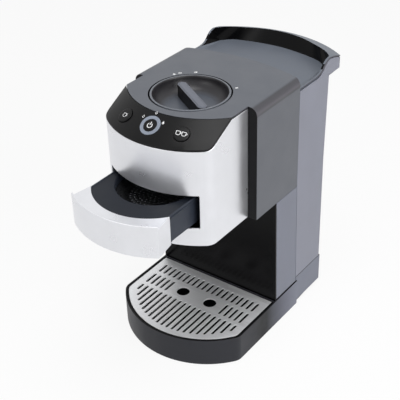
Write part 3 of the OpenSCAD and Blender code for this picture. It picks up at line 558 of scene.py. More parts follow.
def in_bow(x, y):
    """True inside the plan of the front shell."""
    corner_x, corner_y, bow_y = bow_centres(SHELL_W, SHELL_REACH, BOW_R, SHELL_CORNER)
    x = abs(x)
    if corner_x * (y - bow_y) <= (corner_y - bow_y) * x:
        return hypot(x, y - bow_y) <= BOW_R
    return x <= SHELL_W / 2 if y >= corner_y else hypot(x - corner_x, y - corner_y) <= SHELL_CORNER


def upper_end(angle):
    """How far from the tip a ruling meets the lip of the top plate."""
    return halve(lambda length: ruling(angle, length).z > PANEL_UPPER, 60, TIP_LEN)


def lower_end(angle):
    """How far from the tip a ruling meets the outline of the shell."""
    return halve(lambda length: in_bow(*ruling(angle, length).xy), upper_end(angle) - 0.01, TIP_LEN + 40)


side_angle = halve(lambda a: ruling(a, upper_end(a)).x < SHELL_W / 2, 0.2, 0.9)
bm = bmesh.new()
ends = [bm.verts.new(ruling(-side_angle, length)) for length in (TIP_LEN - 20, TIP_LEN)]
line = bm.edges.new(ends)
axis = CONE.to_3x3() @ Vector((0, 0, 1))
bmesh.ops.spin(bm, geom=[*ends, line], cent=TIP, axis=axis, angle=2 * side_angle, steps=96)
for point in bm.verts:
    local = CONE.inverted() @ point.co
    angle = atan2(local.x, -local.y)
    upper = -local.z / cos(HALF) < TIP_LEN - 10
    point.co = ruling(angle, upper_end(angle) if upper else lower_end(angle))
raise_faces(bm, bm.faces[:], -PANEL_T)
panel = finish_piece(bm, "key_panel", panel_black, "chassis", ["control_panel"])
print("the panel spans", round(2 * degrees(side_angle), 1), "degrees of its cone")

# %% Holes for the keys, each with a small chamfer
BUTTON_R, RING_R, POWER_R, ROUND_STEPS = 7.6, 10.3, 6.6, 72


def cone(lower, upper, depth, place):
    """A tool in the shape of a pin, or of a pin that widens."""
    bm = bmesh.new()
    bmesh.ops.create_cone(
        bm, cap_ends=True, segments=ROUND_STEPS, radius1=lower, radius2=upper, depth=depth, matrix=place)
    return bm


for angle, radius in ((-BUTTON_ANGLE, BUTTON_R + 0.3), (0, RING_R + 0.1), (BUTTON_ANGLE, BUTTON_R + 0.3)):
    chamfer_place = on_panel(angle) @ moved(0, 0, 0.3)
    cut_out(panel, [
        cone(radius, radius, 16, on_panel(angle)), cone(radius - 0.5, radius + 1.0, 1.5, chamfer_place)])
round_edges(panel, 0.3, 60)
print("panel with its holes:", len(panel.data.polygons), "faces")

# %% [markdown]
# ## The keys
# Round pieces are turned: a few points of the profile, drawn as radius and height, are
# spun a full turn about the piece's axis. The cup keys are black caps on stems, and the
# middle key sits in a pale ring that guides the light of a lamp below.

# %% A lathe
def lathe(profile, place, closed=False):
    """Turns a profile of (radius, height) points about z and puts the shape in its place."""
    bm = bmesh.new()
    points = [bm.verts.new((radius, 0, height)) for radius, height in profile]
    lines = [bm.edges.new(pair) for pair in zip(points, points[1:])]
    if closed:
        lines.append(bm.edges.new((points[-1], points[0])))
    bmesh.ops.spin(
        bm, geom=points + lines, cent=(0, 0, 0), axis=(0, 0, 1), angle=2 * pi, steps=ROUND_STEPS,
        use_merge=True)
    carry(bm, place)
    return bm

# %% Key caps and the light ring
STEM_R, STEM_LEN, CAP_T = 2.5, 7.2, 3.0
for name, node, body, angle, radius, proud in (
    ("one_cup_key_cap", "one_cup_button", "one_cup_key", -BUTTON_ANGLE, BUTTON_R, 1.2),
    ("power_key_cap", "power_button", "power_key", 0, POWER_R, 0.6),
    ("two_cup_key_cap", "two_cup_button", "two_cup_key", BUTTON_ANGLE, BUTTON_R, 1.2),
):
    bm = lathe([
        (0, -STEM_LEN), (STEM_R, -STEM_LEN), (STEM_R, -CAP_T), (radius, -CAP_T), (radius, proud - 0.3),
        (radius - 1.4, proud), (0, proud - 0.15)], on_panel(angle))
    finish_piece(bm, name, panel_black, body, [node], edge=0.35, angle=25, segments=3)

RING_IN, RING_TOP = POWER_R + 0.3, 0.25
ring_section = [(RING_IN, -PANEL_T), (RING_R, -PANEL_T), (RING_R, RING_TOP), (RING_IN, RING_TOP)]
bm = lathe(ring_section, on_panel(0), closed=True)
finish_piece(
    bm, "key_light_ring", ring_plastic, "chassis", ["power_ring"], edge=0.25, segments=3)

# %% [markdown]
# ## Printed symbols
# The symbols are pad-printed in white ink. Each is an outline of the pen, filled and
# raised by about a tenth of a millimetre, and then laid on its key or on the panel.
# They are the usual ones: a cup, two cups, the stand-by sign and drops of water.

# %% A printed symbol
INK_SINK, INK_T = 0.06, 0.14
CUP_SIZE, CUP_STROKE, CUP_CORNER = 2.2, 0.6, 0.6


def printed(name, shapes, place, body):
    """Fills each shape, a list of loops of (start, moves), and lays it on a surface."""
    bm = bmesh.new()
    for loops in shapes:
        raise_faces(bm, cap(bm, *[draw(bm, start, moves) for start, moves in loops]), INK_T)
    carry(bm, place @ moved(0, 0, -INK_SINK))
    return finish_piece(bm, name, white_ink, body)


def at_angle(radius, turn, x=0.0, y=0.0):
    """A point at a radius and an angle in degrees from (x, y)."""
    return (x + radius * cos(radians(turn)), y + radius * sin(radians(turn)))


def ring_part(outer, inner, start, turn):
    """A piece of a ring round (0, 0) as a loop of the pen."""
    across = at_angle(inner, start + turn)
    return [(at_angle(outer, start), [((0, 0), turn, 24), across, ((0, 0), -turn, 24)])]


def block(x, y0, y1):
    """A rectangle from -x to x and from y0 to y1, as a loop of the pen."""
    return (-x, y0), [(x, y0), (x, y1), (-x, y1)]


def cup_body(x, size):
    """The body of a cup seen from the side, as a loop of the pen."""
    left, right = (x - CUP_CORNER, -CUP_CORNER), (x + CUP_CORNER, -CUP_CORNER)
    return (x - size, size), [
        (x - size, -CUP_CORNER), (left, 90, 6), (x + CUP_CORNER, -size), (right, 90, 6), (x + size, size)]


def cup_loops(x):
    """A cup seen from the side: its body with a hole, and its handle."""
    centre, side = (x + CUP_SIZE, 0.4), x + CUP_SIZE
    handle = ((side, 1.5), [(centre, -180, 10), (side, -0.15), (centre, 180, 10)])
    return [[cup_body(x, CUP_SIZE), cup_body(x, CUP_SIZE - CUP_STROKE)], [handle]]


def drop_loop(size):
    """A drop, pointed above and round below, as a loop of the pen."""
    middle, start = -0.4 * size, 147.7
    return (0, 1.8 * size), [at_angle(1.1 * size, start, 0, middle), ((0, middle), 2 * (270 - start), 14)]


stand_by = [ring_part(2.9, 2.05, 125, 290), [block(0.45, 0.4, 3.9)]]
two_cups = cup_loops(-3.3) + cup_loops(2.4)
printed("stand_by_sign", stand_by, on_panel(0) @ moved(0, -0.4, 0.55), "power_key")
printed("one_cup_sign", cup_loops(-0.4), on_panel(-BUTTON_ANGLE) @ moved(0, 0, 1.12), "one_cup_key")
printed("two_cup_sign", two_cups, on_panel(BUTTON_ANGLE) @ moved(0, 0, 1.12), "two_cup_key")

# %% Drops round the middle key
for number, (x, y, filled) in enumerate(((-12.3, -61.3, False), (-1.2, -55.5, False), (10.9, -61.5, True))):
    local = CONE.inverted() @ Vector((x, y, panel_height(x, y)))
    loops = [drop_loop(1.05)] if filled else [drop_loop(1.05), drop_loop(0.62)]
    place = on_panel(atan2(local.x, -local.y), -local.z / cos(HALF))
    printed(f"water_drop_{number + 1}", [loops], place, "chassis")

# %% [markdown]
# ## The head's cover
# The cover is one moulding: a flat top with a round hole for the knob, long edges of
# 8 mm radius, side walls, a bowed rear wall against the tank and two narrow returns at
# the front. The flat top is filled between its outline and the hole. The lines along
# its long edges are spun through a quarter turn for the rounding, and then extruded
# down as walls. The Solidify modifier gives it the wall of a moulding, and a vertex
# group thins it to a lip where it meets the control panel. The finish carries painted
# shade and a painted highlight in bands that follow the height over the rounding, and
# the wall of the knob's hole and the front returns are black as painted shade.

# %% A finish with painted shade that follows a place
def shade_by(material, value, stops):
    """Lets a value from 0 to 1 choose the base colour of a finish, for painted light and shade."""
    tree = material.node_tree
    fill(tree, tree.nodes["Principled BSDF"], {"Base Color": shades(tree, value, stops)})
    return material


def graded_painted_light(name, axis, low, high, stops, gloss, shine=0.5):
    """A moulded plastic with painted light and shade that follow one axis between two places on it, in mm.
    """
    material = moulded(name, stops[0][1], gloss, shine=shine)
    tree = material.node_tree
    along = add_node(tree, "SeparateXYZ", axis, {"Vector": place_on(tree, {})})
    share = {"Value": along, "From Min": low / 1000, "From Max": high / 1000}
    return shade_by(material, add_node(tree, "MapRange", "Result", share), stops)


# Painted shade and a painted highlight: darker and lighter bands over the rounded edges, where the light
# falls off and glints.
cover_painted_shade = graded_painted_light("cover_painted_shade", "Z", 270.5, 280.0, [
    (0.0, seen(84, 87, 94)), (0.12, seen(60, 60, 65)), (0.42, seen(82, 80, 86)), (0.66, seen(64, 63, 69)),
    (0.93, seen(56, 56, 61)), (0.995, seen(85, 89, 97))], 0.42)
print("the cover's finish follows its height")

# %% Cover sheet
KNOB_HOLE_R, WELL_FLOOR = 40.7, 263.0
COVER_REAR_Y, SEAM_GAP = 45.0, 0.7
FRONT_X, FLAT_X = SHELL_W / 2, COVER_W / 2 - COVER_EDGE
seam_turn = arc_across(FLAT_X, SEAM_R, SEAM_Y)[0]
lip_xs = [FRONT_X * k / 30 for k in range(-30, 31)]
bm = bmesh.new()
moves = [(x, panel_y(x, TOP_Z)) for x in lip_xs] + [
    (FRONT_X, 0), (FLAT_X, 0), (FLAT_X, seam(FLAT_X)), ((0, SEAM_Y), seam_turn, 40), (-FLAT_X, 0)]
outline = draw(bm, (-FRONT_X, 0), moves, TOP_Z)
hole = circle(bm, KNOB_HOLE_R, 96, moved(0, BREW_Y, TOP_Z))
cap(bm, outline, hole)
raise_walls(bm, hole, WELL_FLOOR)
# The wall of the knob's hole gets the black finish: painted shade in the gap round the knob.
paint(faces_where(bm, lambda c: c.z < TOP_Z - 0.1), 1)
print("flat top:", len(bm.faces), "faces")

# %% Rounded long edges, side walls, rear wall and front returns
def hang_wall(bm, edges):
    """Extrudes edges down to the head's underside and returns the new faces."""
    made = bmesh.ops.extrude_edge_only(bm, edges=edges)["geom"]
    for point in only(BMVert, made):
        point.co.z = HEAD_Z
    return only(BMFace, made)


def end_rim(bm, at_end):
    """The open edges across one end of the cover, above the head's underside."""
    return [e for e in bm.edges if e.is_boundary and all(at_end(v.co) for v in e.verts)
            and abs(e.verts[0].co.x - e.verts[1].co.x) > 0.01 and e.verts[0].co.z > HEAD_Z + 1]


for side in (-1, 1):
    rim = [e for e in bm.edges if all(abs(v.co.x - side * FLAT_X) < 0.01 for v in e.verts)]
    rounded = bmesh.ops.spin(
        bm, geom=[v for e in rim for v in e.verts] + rim, cent=(side * FLAT_X, 0, TOP_Z - COVER_EDGE),
        axis=(0, 1, 0), angle=side * pi / 2, steps=8)["geom_last"]
    hang_wall(bm, only(BMEdge, rounded))
for point in bm.verts:
    if point.co.y > COVER_REAR_Y:
        point.co.y = seam(point.co.x) - SEAM_GAP
hang_wall(bm, end_rim(bm, lambda co: co.y > COVER_REAR_Y))
# The front returns get the black finish: painted shade on the cover's own plastic.
paint(hang_wall(bm, end_rim(bm, lambda co: abs(co.y) < 0.01 and abs(co.x) > FRONT_X - 0.1)), 1)
cover = finish_piece(
    bm, "head_cover_shell", [cover_painted_shade, black_plastic], "chassis", ["head_cover"],
    wall=2.5, edge=0.3, segments=3)
thickness = cover.vertex_groups.new(name="full_wall")
for vertex in cover.data.vertices:
    point = TO_METRES.inverted() @ vertex.co
    at_lip = point.z > TOP_Z - 0.1 and abs(point.y - panel_y(point.x, TOP_Z)) < 0.05
    thickness.add([vertex.index], 0.0 if at_lip else 1.0, "REPLACE")
cover.modifiers["wall"].vertex_group = "full_wall"
cover.modifiers["wall"].thickness_vertex_group = 0.24

# %% [markdown]
# ## The brew knob
# The knob is a dish that sinks into the head, with a bar across it for the fingers. The
# dish is drawn as half of its section, a pen line with one arc, and spun. Its finish is
# made in rings of painted shade, darker on the bowl's wall towards the rim. The bar is a
# block with a shallow panel inset in its top, and its sides are black as painted shade.

# %% A finish in rings of painted shade
def ringed_painted_shade(name, stops, gloss, centre_y):
    """A moulded plastic whose painted shade changes with the distance from an upright axis, in mm."""
    material = moulded(name, stops[0][1], gloss, depth=0.000015)
    tree = material.node_tree
    to_axis = (0, -(centre_y / 1000 + row_y) * 10, 0)
    place = place_on(tree, {"Location": to_axis, "Scale": (10, 10, 0)})
    length = add_node(tree, "VectorMath", "Value", {0: place}, "LENGTH")
    return shade_by(material, length, [(radius / 100, colour) for radius, colour in stops])


# Painted shade: the bowl's wall is darker towards the rim; the floor and the flat rim keep the knob's grey.
dish_shade_rings = [
    (0, seen(92, 97, 107)), (23, seen(88, 93, 102)), (30, seen(44, 43, 47)), (37.1, seen(34, 33, 36)),
    (37.6, seen(104, 108, 116)), (39, seen(104, 108, 116))]
dish_painted_shade = ringed_painted_shade("dish_painted_shade", dish_shade_rings, 0.36, BREW_Y)
print("the dish's finish has", len(dish_shade_rings), "rings")

# %% Dish
KNOB_R, KNOB_FLOOR, KNOB_TOP, BOWL_R, BOWL_X = 39.2, 266.0, 280.3, 13.0, 23.6
bm = bmesh.new()
draw(
    bm, (0, KNOB_FLOOR),
    [(BOWL_X, KNOB_FLOOR), ((BOWL_X, KNOB_FLOOR + BOWL_R), 90, 12), (KNOB_R - 2.0, KNOB_TOP),
     (KNOB_R, KNOB_TOP), (KNOB_R, KNOB_FLOOR - 2.5), (0, KNOB_FLOOR - 2.5)], close=False)
carry(bm, turned(pi / 2, "X"))
bmesh.ops.spin(
    bm, geom=bm.verts[:] + bm.edges[:], cent=(0, 0, 0), axis=(0, 0, 1), angle=2 * pi, steps=96,
    use_merge=True)
carry(bm, moved(0, BREW_Y, 0))
finish_piece(
    bm, "knob_dish", dish_painted_shade, "knob", ["knob"], edge=0.4, angle=40, segments=3)

# %% Bar across the dish
BAR_W, BAR_NEAR, BAR_FAR, BAR_TOP, BAR_ANGLE = 9.5, 35.0, 27.0, 279.2, radians(148)
half_bar, bar_foot = BAR_W / 2, KNOB_FLOOR - 0.4
bm = bmesh.new()
plan = draw(bm, (BAR_FAR - half_bar, -half_bar), [
    ((BAR_FAR - half_bar, 0), 180, 16), (half_bar - BAR_NEAR, half_bar),
    ((half_bar - BAR_NEAR, 0), 180, 16)], bar_foot)
cap(bm, raise_walls(bm, plan, BAR_TOP))
cap(bm, plan)
# The bar's sides get the black finish: painted shade on the bar's grey plastic.
paint(level_faces(bm, (bar_foot + BAR_TOP) / 2), 1)
top = level_faces(bm, BAR_TOP)
bmesh.ops.inset_region(bm, faces=top, thickness=1.3, depth=0)
bmesh.ops.inset_region(bm, faces=top, thickness=0.3, depth=-0.5)
carry(bm, moved(0, BREW_Y, 0) @ turned(BAR_ANGLE, "Z"))
finish_piece(bm, "knob_bar", [bar_plastic, black_plastic], "knob", edge=0.5, segments=3)

# %% Marks round the knob
MARK_R = 45.0
marks = {
    "mark_open": (148, [((1.9, 0), [(-1.5, 1.9), (-1.5, -1.9)])]),
    "mark_low": (140, [((1.7, 0), [((0, 0), 360, 24)]), ((1.0, 0), [((0, 0), 360, 24)])]),
    "mark_closed": (120, [block(1.3, -1.6, 1.6)]),
    "mark_brew": (45, [block(1.4, -1.0, 1.0)]),
}
for name, (angle, loops) in marks.items():
    place = moved(0, BREW_Y, TOP_Z) @ turned(radians(angle), "Z") @ moved(MARK_R, 0, 0)
    printed(name, [loops], place, "chassis")

# %% [markdown]
# ## The drawer
# The drawer has a thick silver front with a bowed face, and ends that are raked back
# to the tray. It is drawn in plan and extruded. The dark tray behind it is a deep lid
# upside down: a flat top with the pod's well, a thin lip along both sides, and walls.

# %% Drawer front
FACE_W, FACE_Z0, FACE_TOP = 103.0, 178.0, 212.0
TRAY_W, TRAY_BOW_R, TRAY_TOP, TRAY_Z0 = 94.0, 59.0, 208.5, 180.0
TRAY_FRONT_Y, TRAY_BACK_Y = -127.0, -20.2
face_cy, tray_cy = BOW_R - FACE_REACH, TRAY_FRONT_Y + TRAY_BOW_R
face_x, tray_x = FACE_W / 2, TRAY_W / 2
face_turn, face_end = arc_across(face_x, BOW_R, face_cy)
tray_turn, tray_end = arc_across(tray_x, TRAY_BOW_R, tray_cy)
LEDGE_Z, LIP_T, FACE_STEPS = 209.2, 1.7, 36
lip_x = face_x - LIP_T * (face_x - tray_x) / (tray_end - face_end)
lip_turn, lip_y = arc_across(lip_x, BOW_R - LIP_T, face_cy)
bm = bmesh.new()
below = draw(
    bm, (-lip_x, lip_y),
    [(-face_x, face_end), ((0, face_cy), face_turn, FACE_STEPS), (lip_x, lip_y), (tray_x + 0.6, tray_end),
     (tray_x, tray_end), ((0, tray_cy), -tray_turn, FACE_STEPS), (-tray_x - 0.6, tray_end)], FACE_Z0)
above = raise_walls(bm, below, LEDGE_Z)
cap(bm, below)
inner = draw(bm, (-lip_x, lip_y), [((0, face_cy), lip_turn, FACE_STEPS)], LEDGE_Z, close=False)
corner = FACE_STEPS + 2
bmesh.ops.weld_verts(bm, targetmap={inner[0]: above[0], inner[-1]: above[corner]})
cap(bm, [above[0]] + inner[1:-1] + above[corner:])
lip = cap(bm, above[:corner + 1] + inner[-2:0:-1])
raise_faces(bm, lip, FACE_TOP - LEDGE_Z)
bmesh.ops.delete(bm, geom=[f for f in lip if f.is_valid], context="FACES")
finish_piece(
    bm, "drawer_face", silver_lacquer, "drawer", ["drawer_front"], edge=0.5, segments=3)
print("the face ends", round(tray_end - face_end, 1), "mm in front of the tray's corners")

# %% Drawer tray
POD_Y, WELL_R, SIEVE_Z, OUTLET_R = -65.0, 38.8, 200.5, 5.0
SIDE_LIP_W, SIDE_LIP_H, WELL_Z0 = 1.3, 0.8, SIEVE_Z - 8
bm = bmesh.new()
moves = [(-tray_x, tray_end), ((0, tray_cy), tray_turn, 40), (tray_x, TRAY_BACK_Y)]
plan = draw(bm, (-tray_x, TRAY_BACK_Y), moves, TRAY_TOP)
well = circle(bm, WELL_R, 96, moved(0, POD_Y, TRAY_TOP))
cap(bm, plan, well)
raise_walls(bm, plan, TRAY_Z0)
floor_ring = raise_walls(bm, well, WELL_Z0)
outlet = circle(bm, OUTLET_R, 24, moved(0, POD_Y, WELL_Z0))
cap(bm, floor_ring, outlet)
raise_walls(bm, outlet, TRAY_Z0 - 10)
for face in faces_where(bm, lambda c: abs(c.x) > tray_x - 0.1):
    bmesh.ops.inset_region(bm, faces=[face], thickness=2.6, depth=0)
    inwards = -0.7 if face.normal.x * face.calc_center_median().x > 0 else 0.7
    bmesh.ops.inset_region(bm, faces=[face], thickness=0.5, depth=inwards)
for x in (SIDE_LIP_W - tray_x, tray_x - SIDE_LIP_W):
    top = level_faces(bm, TRAY_TOP)
    around = list({e for f in top for e in f.edges}) + list({v for f in top for v in f.verts})
    cut_across(bm, (x, 0, 0), (1, 0, 0), top + around)
strips = faces_where(bm, lambda c: abs(c.z - TRAY_TOP) < 0.01 and abs(c.x) > tray_x - SIDE_LIP_W)
raise_faces(bm, strips, SIDE_LIP_H)
bmesh.ops.delete(bm, geom=strips, context="FACES")
# The tray's top gets the darker plastic: painted shade where the head keeps the light off.
paint(level_faces(bm, TRAY_TOP), 1)
tray_finishes = [tray_plastic, tray_top_painted_shade]
finish_piece(
    bm, "drawer_insert", tray_finishes, "drawer", ["drawer_tray"], wall=2.2, edge=0.45)

# %% [markdown]
# ## Pressed and punched metal
# The sieve and the drip grid are sheets with holes. Both are drawn flat, outline and
# holes together, and filled between them. The sieve's rim is then drawn up from the
# flat floor, as a press would do it, and a Solidify modifier gives the sheets' wall.

# %% Pod sieve
SIEVE_FLOOR_R, SIEVE_DROP, HOLE_RINGS, HOLE_PITCH, HOLE_R = WELL_R - 12, 4.6, 6, 4.1, 0.85
bm = bmesh.new()
floor_z = SIEVE_Z - SIEVE_DROP
rim = circle(bm, SIEVE_FLOOR_R, 96, moved(0, 0, floor_z))
holes = []
for ring_no in range(1, HOLE_RINGS + 1):
    count = 6 * ring_no
    for k in range(count):
        place = turned(2 * pi * k / count, "Z") @ moved(ring_no * HOLE_PITCH, 0, floor_z)
        holes.append(circle(bm, HOLE_R, 8, place))
cap(bm, rim, *holes)
for inset, rise in ((7.2, -0.4), (1.2, 0.2), (0.3, 1.0)):
    factor = (WELL_R - inset) / hypot(rim[0].co.x, rim[0].co.y)
    rim = raise_walls(bm, rim, SIEVE_Z + rise)
    bmesh.ops.scale(bm, vec=(factor, factor, 1), verts=rim)
carry(bm, moved(0, POD_Y, 0))
finish_piece(bm, "sieve_dish", sieve_steel, "drawer", ["pod_sieve"], wall=0.7, edge=0.2, angle=50)
print("sieve with", len(holes), "holes")

# %% Drip grid
BASE_W, BASE_REACH, BASE_BOW_R, BASE_CORNER = 153.0, 77.0, 92.0, 14.0
GRID_IN, GRID_TOP, GRID_BACK, GRID_T = 3.8, 32.6, 31.7, 1.5
SLOT_PITCH, SLOT_W, SLOT_PAIRS = 6.6, 3.0, 10
REAR_ROW, SIDE_ROW, SIDE_ROW_X, ROW_START = (6.0, 21.5), (-17.0, 1.5), 32, -21.5
SLOT_ARC_R, SLOT_ARC_Y = BASE_BOW_R - 16.5, BASE_BOW_R - BASE_REACH - 5.9
FINGER_R, FINGER_X, FINGER_Y = 7.2, 18, -7.4
bm = bmesh.new()
start, moves = bowed(
    BASE_W - 2 * GRID_IN, BASE_REACH - GRID_IN, BASE_BOW_R - GRID_IN, BASE_CORNER - GRID_IN, GRID_BACK)
plate = draw(bm, start, moves, GRID_TOP)
loops, half_slot = [], SLOT_W / 2
for x in [side * (i + 0.5) * SLOT_PITCH for i in range(SLOT_PAIRS) for side in (-1, 1)]:
    rows = [REAR_ROW, (SLOT_ARC_Y - sqrt(SLOT_ARC_R**2 - x * x), ROW_START)]
    if abs(x) > SIDE_ROW_X:
        rows.append(SIDE_ROW)
    for front, back in rows:
        near, far = (x, front + half_slot), (x, back - half_slot)
        moves = [(far, 180, 6), (x - half_slot, near[1]), (near, 180, 6)]
        loops.append(draw(bm, (x + half_slot, far[1]), moves, GRID_TOP))
for x in (-FINGER_X, FINGER_X):
    loops.append(circle(bm, FINGER_R, 48, moved(x, FINGER_Y, GRID_TOP)))
cap(bm, plate, *loops)
finish_piece(
    bm, "drip_plate", brushed_steel, "grid", ["drip_grid"], wall=GRID_T, edge=0.25, angle=50)
print("drip plate with", len(loops), "openings")

# %% [markdown]
# ## Pieces whose shape is nearly right
# The base, the column, the tank and its lid are nearly right in the engineering model,
# only with sharp edges and loose triangles. A copy of each is welded, its flat areas
# are joined into single faces, and its edges are rounded. The base's finish carries
# painted light and shade: dark in front and lighter along its sides further back. The
# narrow ledge round its top is black, a painted shadow line along the joints.

# %% Refine copies of engineering shapes
FLAT_ANGLE, BASE_LEDGE_Z = radians(0.3), 30.0
# Painted light and shade: dark in front and lighter along the sides further back, where more light falls on
# them.
base_painted_light = graded_painted_light("base_painted_light", "Y", -40, 60, [
    (0.0, seen(45, 46, 51)), (0.16, seen(34, 35, 40)), (0.28, seen(16, 17, 20)), (0.38, seen(24, 25, 29)),
    (0.5, seen(68, 70, 78)), (0.73, seen(98, 100, 112)), (0.98, seen(120, 123, 135))], 0.45, shine=0.2)


def refine(node, name, finish, body, edge, reshape=None):
    """A welded copy of a node with joined flat faces and rounded edges, pulled by reshape."""
    bm = bmesh.new()
    bm.from_mesh(nodes[node].data)
    carry(bm, TO_METRES.inverted())
    bmesh.ops.remove_doubles(bm, verts=bm.verts, dist=WELD_DIST)
    bmesh.ops.dissolve_limit(bm, angle_limit=FLAT_ANGLE, verts=bm.verts, edges=bm.edges, delimit={"NORMAL"})
    paint(bm.faces, 0)
    if reshape:
        reshape(bm)
    finish_piece(bm, name, finish, body, [node], edge=edge, angle=30)


def paint_base_ledge_shade(bm):
    """Paints the narrow ledge round the base's top black, as a painted shadow line along the joints."""
    bm.normal_update()
    paint([f for f in bm.faces if f.normal.z > 0.9 and f.calc_center_median().z > BASE_LEDGE_Z], 1)


base_finishes = [base_painted_light, black_plastic]
refine("base_housing", "base_moulding", base_finishes, "chassis", 0.7, paint_base_ledge_shade)
for node, name, body, edge in (
    ("drip_tray", "drip_basin", "basin", 0.3), ("drawer_rails", "opening_cheeks", "chassis", 0.3),
    ("head_floor", "head_underside", "chassis", 0.3), ("coffee_spout", "spout", "chassis", 0.5),
):
    refine(node, name, black_plastic, body, edge)

# %% [markdown]
# ## Draft of the column and the tank
# A moulding leaves its tool only if its walls lean a little, which is called draft. The
# engineering model has upright walls here, so the copies are cut once across at the
# height where the lean ends, and their points are then pulled: the sides lean in until
# they are level with the head's, the tank's rear leans back, and the lid's rim drops.

# %% Leaning the copies
LEAN_Z0, LEAN_Z1, LEAN_FOOT, LEAN_TOP = 36, 165.0, 0.008, 0.0395
REAR_Y0, REAR_Y1, REAR_LEAN, REAR_TOP = 100, 133, 7.0, 264
RIM_Z, RIM_DROP, DROP_Z, RIM_GAP_Y, RIM_GAP_LESS = 268, 2.3, (240, 256), (112, 135), 0.7
SWEEP_Z, SWEEP_BACK, SWEEP_IN, SWEEP_OUT = 268.5, 4.5, (95, 110), (140, 155)


def part_way(value, start, end):
    """0 at the start, 1 at the end, and even steps between them."""
    return min(1.0, max(0.0, (value - start) / (end - start)))


def lean(bm, foot_gap=0.0, rim_gap=0.0):
    """Gives draft to a copy; foot_gap opens the joint at its foot and rim_gap at its rim."""
    cut_across(bm, (0, 0, LEAN_Z1), (0, 0, 1))
    foot = min(v.co.z for v in bm.verts)
    for point in bm.verts:
        x, y, z = point.co
        if REAR_Y0 < y < REAR_Y1 and z < RIM_Z:
            y += REAR_LEAN * part_way(z, LEAN_Z0, REAR_TOP)
        if z > SWEEP_Z:
            y += SWEEP_BACK * part_way(y, *SWEEP_IN) * (1 - part_way(y, *SWEEP_OUT))
        x *= 1 - LEAN_FOOT - (LEAN_TOP - LEAN_FOOT) * part_way(z, LEAN_Z0, LEAN_Z1)
        if z < foot + 0.1:
            z += foot_gap
        if z > RIM_Z:
            z -= rim_gap * (1 - RIM_GAP_LESS * part_way(y, *RIM_GAP_Y))
        point.co = (x, y, z - RIM_DROP * part_way(z, *DROP_Z))
    bmesh.ops.connect_verts_concave(bm, faces=bm.faces)
    bm.normal_update()


# The column's and the tank's lighter plastics carry painted light on their right-hand sides.
for node, name, finish, body, slot, edge, gap, rim_gap in (
    ("column_housing", "column_moulding", column_painted_light, "chassis", "dark_plastic", 0.5, 1.2, 0),
    ("column_front", "column_face", gloss_black, "chassis", "gloss_black", 0.4, 0, 0),
    ("water_tank", "tank_moulding", tank_plastic, "tank", "tank_plastic", 0.3, 0.8, 1.5),
):
    refine(node, name, finish, body, edge, lambda bm: lean(bm, gap, rim_gap))

# %% Gasket in the joint under the column
GASKET_X, GASKET_Y, GASKET_Z0, GASKET_Z1 = 74.2, 36.0, 33.0, 34.4
bm = bmesh.new()
rear = [(x, seam(x) - 2.0) for x in (GASKET_X * k / 12 for k in range(12, -13, -1))]
plan = draw(bm, (-GASKET_X, GASKET_Y), [(GASKET_X, GASKET_Y)] + rear, GASKET_Z0)
cap(bm, raise_walls(bm, plan, GASKET_Z1))
cap(bm, plan)
finish_piece(bm, "column_gasket", black_plastic, "chassis", edge=0.2)

# %% [markdown]
# ## The lid and its gallery
# The lid is grey like the head, but the wall round its cup gallery is a glossy black
# inlay. The copy's faces are sorted by the way they look: those that face the gallery's
# middle get the black finish, and those of the outer rim a darker copy of the lid's grey
# as painted shade. At the sides the wall's foot is drawn in, so that the wall leans there
# as it does at the rear.

# %% Lid
GALLERY_FLOOR, GALLERY_X, GALLERY_MIDDLE = 270.0 - RIM_DROP, 71.5, Vector((0, 40, 0))
FOOT_IN, FOOT_Y, FOOT_X = 0.09, (95, 125), (52, 70)


def dress_lid(bm):
    """Leans the lid, draws in its wall's foot and sorts its faces by finish."""
    lean(bm)
    for point in bm.verts:
        if abs(point.co.z - GALLERY_FLOOR) < 0.1 and abs(point.co.x) < GALLERY_X:
            share = part_way(point.co.y, *FOOT_Y) * part_way(abs(point.co.x), *FOOT_X)
            point.co.x *= 1 - FOOT_IN * share
    bm.normal_update()
    for face in bm.faces:
        centre = face.calc_center_median()
        if centre.z < GALLERY_FLOOR + 0.3 or abs(face.normal.z) > 0.8:
            continue
        inward = face.normal.dot(((GALLERY_MIDDLE - centre) * Vector((1, 1, 0))).normalized())
        if inward > 0.3 and centre.y > seam(centre.x) + 1:
            face.material_index = 1
        # Faces of the outer rim get a darker grey: painted shade.
        elif inward < -0.3:
            face.material_index = 2


lid_finishes = [lid_plastic, gloss_black, lid_rim_painted_shade]
refine("tank_lid", "tank_cover", lid_finishes, "lid", 0.3, dress_lid)

# %% [markdown]
# ## The springs that lift the piston
# Two steel springs stand on the roof of the brew housing and push up the guide pins of
# the piston. A round wire section is spun four turns, with a little rise at each step.

# %% Return springs
SPRING_X, COIL_R, WIRE_R, SPRING_Z0, SPRING_Z1, TURNS, STEPS = 24.0, 4.7, 0.6, 236.6, 247.4, 4, 128
rise = (SPRING_Z1 - SPRING_Z0 - 2 * WIRE_R) / STEPS
bm = bmesh.new()
for x in (-SPRING_X, SPRING_X):
    wire = circle(bm, WIRE_R, 12, moved(x + COIL_R, BREW_Y, SPRING_Z0 + WIRE_R) @ turned(pi / 2, "X"))
    bmesh.ops.spin(
        bm, geom=wire + list({e for v in wire for e in v.link_edges}), cent=(x, BREW_Y, 0), axis=(0, 0, 1),
        dvec=(0, 0, rise), angle=2 * pi * TURNS, steps=STEPS)
bmesh.ops.holes_fill(bm, edges=[e for e in bm.edges if e.is_boundary], sides=0)
springs = finish_piece(bm, "lift_springs", turned_steel, None, ["return_springs"])
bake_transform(springs)

# %% [markdown]
# ## The works inside
# The inner pieces are only seen with the tank or the tray lifted out. Their engineering
# shapes stay as they are and get the finishes of their real materials.

